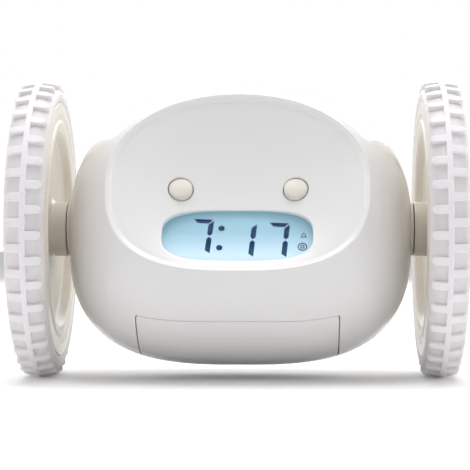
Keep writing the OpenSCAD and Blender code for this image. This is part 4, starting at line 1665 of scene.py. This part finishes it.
    def hub_cap(self) -> Piece:
        """The domed cap over the wheel's screw.

        Returns:
            The dressed cap.
        """
        corners = [
            (0, 65.3), (4, 65.15), (8, 64.5), (11, 63.2), (12.6, 61.6), (12.6, 60),
            (11.2, 60), (11.2, 61.4), (8, 62.8), (0, 63.8),
        ]
        obj = revolve(f"hub_cap_{self.side.word}_moulding", rounded(corners, 1.2, 5), 128)
        place(obj, TO_METRES @ side_matrix(self.side))
        smooth(obj, 35)
        return dress(obj, CREAM, self.body, f"hub_cap_{self.side.word}")

    def build(self) -> None:
        """Builds the wheel."""
        self.tyre()
        self.disc()
        self.hub_cap()


# ---------------------------------------------------------------- face


@dataclass
class FaceParts:
    """The eye buttons on the hollow face."""

    eye_x: float = 16.7
    eye_v: float = 14.9
    radius: float = 3.5
    top: float = 3.9
    foot: float = -2.2
    flange: float = -1.1

    def eye_button(self, side: Side) -> Piece:
        """A domed button with a rounded edge and its flange behind the face.

        Args:
            side: The eye that it is.

        Returns:
            The dressed button.
        """
        r, t, f = self.radius, self.top, self.flange
        dome = [(r * s, t - 0.45 * s ** 2) for s in spread(0, 0.86, 8)]
        edge = [(r - 0.12, t - 0.55), (r, t - 0.8), (r, f + 0.8), (r + 0.6, f + 0.8), (r + 0.6, f)]
        corners = [*dome, *edge, (2, f), (2, self.foot), (0, self.foot)]
        obj = revolve(f"eye_button_{side.word}_moulding", corners, 96)
        at = Matrix.Translation((side.value * self.eye_x, self.eye_v, 0))
        place(obj, TO_METRES @ display_matrix() @ at)
        smooth(obj, 40)
        return dress(obj, BUTTON, f"eye_{side.word}", f"eye_button_{side.word}")

    def build(self) -> None:
        """Builds the face's parts."""
        for side in Side:
            self.eye_button(side)


@dataclass
class DisplayMarks:
    """The display's segments: the time 7:17 and two small marks."""

    centres: tuple[Pair, ...] = ((-10.3, 0.85), (2.15, -0.35), (11.6, -0.45))
    bars: tuple[str, ...] = ("abc", "bc", "abc")
    dots: tuple[Pair, ...] = ((-4.65, 3.5), (-5.17, -3.34))
    dot_radius: float = 0.9
    ring: Pair = (18.6, -3.0)
    bell: Pair = (18.95, 0.9)
    width: float = 5.9
    height: float = 12.0
    stroke: float = 1.5
    turn: float = -3.2
    lean: float = 2.0
    low: float = -1.19
    high: float = -1.08

    def bar(self, name: str) -> Outline:
        """The outline of one bar of a digit, about the digit's middle.

        Args:
            name: The bar's letter: a on top, b and c down the right side.

        Returns:
            Its points.
        """
        w, h, s = self.width / 2, self.height / 2, self.stroke
        i = w - s
        outlines = {
            "a": [(-w, h), (w - 0.35, h), (i + 0.05, h - s + 0.05), (-i - 0.3, h - s + 0.05)],
            "b": [(w, h - 0.4), (w, 0.95), (w - s / 2, 0.15), (i, 0.95), (i, h - s - 0.35)],
            "c": [(w - s / 2, -0.15), (w, -0.95), (w, -h), (i, 1.0 - h), (i, -0.95)],
        }
        lean, turn = math.tan(math.radians(self.lean)), Matrix.Rotation(math.radians(self.turn), 2)
        return [tuple(turn @ Vector((x + y * lean, y))) for x, y in outlines[name]]

    def slab(self, outline: Sequence[Pair]) -> Piece:
        """A thin flat piece with the given outline, on the display's plane.

        Args:
            outline: Its points.

        Returns:
            The piece, in millimetres.
        """
        clear_selection()
        bpy.ops.mesh.primitive_circle_add(vertices=len(outline), radius=1, fill_type="NGON")
        obj = made("slab")
        for vertex, (x, y) in zip(obj.data.vertices, outline):
            vertex.co = (x, y, self.low)
        use_modifier(obj, "SOLIDIFY", thickness=self.high - self.low, offset=1)
        weld(obj, 1e-6)
        return obj

    def build(self) -> None:
        """Builds the segments and the marks."""
        pieces = []
        for (x, y), letters in zip(self.centres, self.bars):
            for letter in letters:
                pieces.append(self.slab([(x + a, y + b) for a, b in self.bar(letter)]))
        pieces += [self.slab(disc_outline(x, y, self.dot_radius, 40)(0)) for x, y in self.dots]
        low, high = self.low, self.high
        hoops = ((self.ring, 1.35, 1.08, 40), (self.ring, 0.6, 0.36, 32), (self.bell, 1.1, 0.8, 3))
        for (x, y), outer, inner, count in hoops:
            section = [(inner, low), (outer, low), (outer, high), (inner, high), (inner, low)]
            hoop = revolve("hoop", section, count)
            at = Matrix.Translation((x, y, 0))
            pieces.append(place(hoop, at @ Matrix.Rotation(math.radians(90), 4, "Z")))
        obj = join(pieces)
        obj.name = obj.data.name = "display_marks"
        place(obj, TO_METRES @ display_matrix())
        dress(obj, INK, "clock_body", "lcd_segments")


@dataclass
class FrameNodes:
    """The frame's own solids that stay in view or behind the shells."""

    def dress_nodes(self) -> None:
        """Gives each of the frame's solids the material of its slot."""
        slots = {row["node"]: row["material_slot"] for row in frame["record"]["subparts"]}
        for name, obj in frame["nodes"].items():
            material = FINISHES[slots[name]].material()
            obj.data.materials.clear()
            obj.data.materials.append(material)


# ---------------------------------------------------------------- studio


@dataclass
class Lamp:
    """A soft box."""

    name: str
    place: Point
    size: Pair
    power: float
    colour: Colour = (1.0, 1.0, 1.0)
    aim: Point = (0.0, 0.0, 0.045)

    def build(self) -> None:
        """Hangs the soft box."""
        data = bpy.data.lights.new(self.name, "AREA")
        data.shape = "RECTANGLE"
        data.size, data.size_y = self.size
        data.energy = self.power
        data.color = self.colour
        obj = bpy.data.objects.new(self.name, data)
        bpy.context.scene.collection.objects.link(obj)
        obj.location = self.place
        ahead = Vector(self.aim) - Vector(self.place)
        obj.rotation_euler = ahead.to_track_quat("-Z", "Y").to_euler()


@dataclass
class Studio:
    """The camera, the lamps, the white surround and the floor."""

    distance: float = 0.547
    azimuth: float = 1.7
    height: float = 0.0445
    lens: float = 138.4
    shift: Pair = (-0.0117, -0.0128)
    ambient: float = 0.47
    ambient_colour: Colour = (0.93, 0.95, 1.0)
    floor_glow: float = 0.08
    lamps: tuple[Lamp, ...] = field(
        default_factory=lambda: (
            Lamp("top_box", (0.0, 0.05, 0.9), (0.9, 0.7), 5.9, (0.99, 0.99, 1.0)),
            Lamp("front_top_box", (0.0, -0.5, 0.8), (0.9, 0.5), 0.3),
            Lamp("left_box", (-0.8, -0.1, 0.3), (0.5, 0.6), 1.5, (1.0, 0.93, 0.78)),
            Lamp("right_box", (0.8, -0.1, 0.3), (0.5, 0.6), 1.6, (1.0, 0.93, 0.78)),
            Lamp("back_box", (0.0, 0.8, 0.5), (1.2, 0.5), 4.5),
            Lamp("right_back_box", (0.7, 0.5, 0.3), (0.5, 0.6), 0.8),
        )
    )

    def camera(self) -> None:
        """Places the camera at the height of the axle."""
        data = bpy.data.cameras.new("photo_camera")
        data.lens, data.sensor_width = self.lens, 36
        data.clip_start, data.clip_end = 0.01, 20
        data.shift_x, data.shift_y = self.shift
        obj = bpy.data.objects.new("photo_camera", data)
        bpy.context.scene.collection.objects.link(obj)
        a = math.radians(self.azimuth)
        obj.location = (self.distance * math.sin(a), -self.distance * math.cos(a), self.height)
        obj.rotation_euler = (math.radians(90), 0, a)
        bpy.context.scene.camera = obj

    def surround(self) -> None:
        """Sets a white surround that lights the clock softly."""
        world = bpy.data.worlds.new("surround")
        bpy.context.scene.world = world
        world.use_nodes = True
        bench = NodeBench(world.node_tree)
        path = bench.add("ShaderNodeLightPath").outputs
        mirrored = bench.math("MAXIMUM", path["Is Glossy Ray"], path["Is Transmission Ray"])
        seen = bench.math("MAXIMUM", path["Is Camera Ray"], mirrored)
        ambient, white = bench.add("ShaderNodeBackground"), bench.add("ShaderNodeBackground")
        ambient.inputs["Color"].default_value = (*self.ambient_colour, 1)
        ambient.inputs["Strength"].default_value = self.ambient
        white.inputs["Color"].default_value = (1, 1, 1, 1)
        mixer = bench.add("ShaderNodeMixShader")
        bench.wire(seen, mixer.inputs[0])
        bench.wire(ambient.outputs[0], mixer.inputs[1])
        bench.wire(white.outputs[0], mixer.inputs[2])
        bench.wire(mixer.outputs[0], bench.add("ShaderNodeOutputWorld").inputs["Surface"])

    def floor(self) -> None:
        """Lays a pale floor that keeps the clock's shadow."""
        clear_selection()
        bpy.ops.mesh.primitive_circle_add(vertices=96, radius=3, fill_type="NGON")
        obj = made("studio_floor")
        material = bpy.data.materials.new("studio_floor")
        material.use_nodes = True
        bench = NodeBench(material.node_tree)
        shader = bench.add("ShaderNodeBsdfPrincipled")
        shader.inputs["Base Color"].default_value = (0.9, 0.9, 0.9, 1)
        shader.inputs["Roughness"].default_value = 0.9
        shader.inputs["Specular IOR Level"].default_value = 0.1
        glow = bench.add("ShaderNodeEmission")
        path = bench.add("ShaderNodeLightPath").outputs
        strength = bench.math("MULTIPLY", path["Is Camera Ray"], self.floor_glow)
        bench.wire(strength, glow.inputs["Strength"])
        total = bench.add("ShaderNodeAddShader")
        bench.wire(shader.outputs["BSDF"], total.inputs[0])
        bench.wire(glow.outputs[0], total.inputs[1])
        output = bench.add("ShaderNodeOutputMaterial")
        bench.wire(total.outputs[0], output.inputs["Surface"])
        obj.data.materials.append(material)

    def build(self) -> None:
        """Builds the studio."""
        self.camera()
        self.surround()
        self.floor()
        for lamp in self.lamps:
            lamp.build()
        bpy.context.scene.view_settings.view_transform = "Standard"


def main() -> None:
    """Builds the studio, then the clock from its case outwards."""
    logging.basicConfig(level=logging.INFO, format="%(name)s: %(message)s")
    Studio().build()
    FrameNodes().dress_nodes()
    Case().build()
    FaceParts().build()
    DisplayMarks().build()
    for side in Side:
        DriveWheel(side).build()
    clear_selection()


if __name__ == "__main__":
    main()
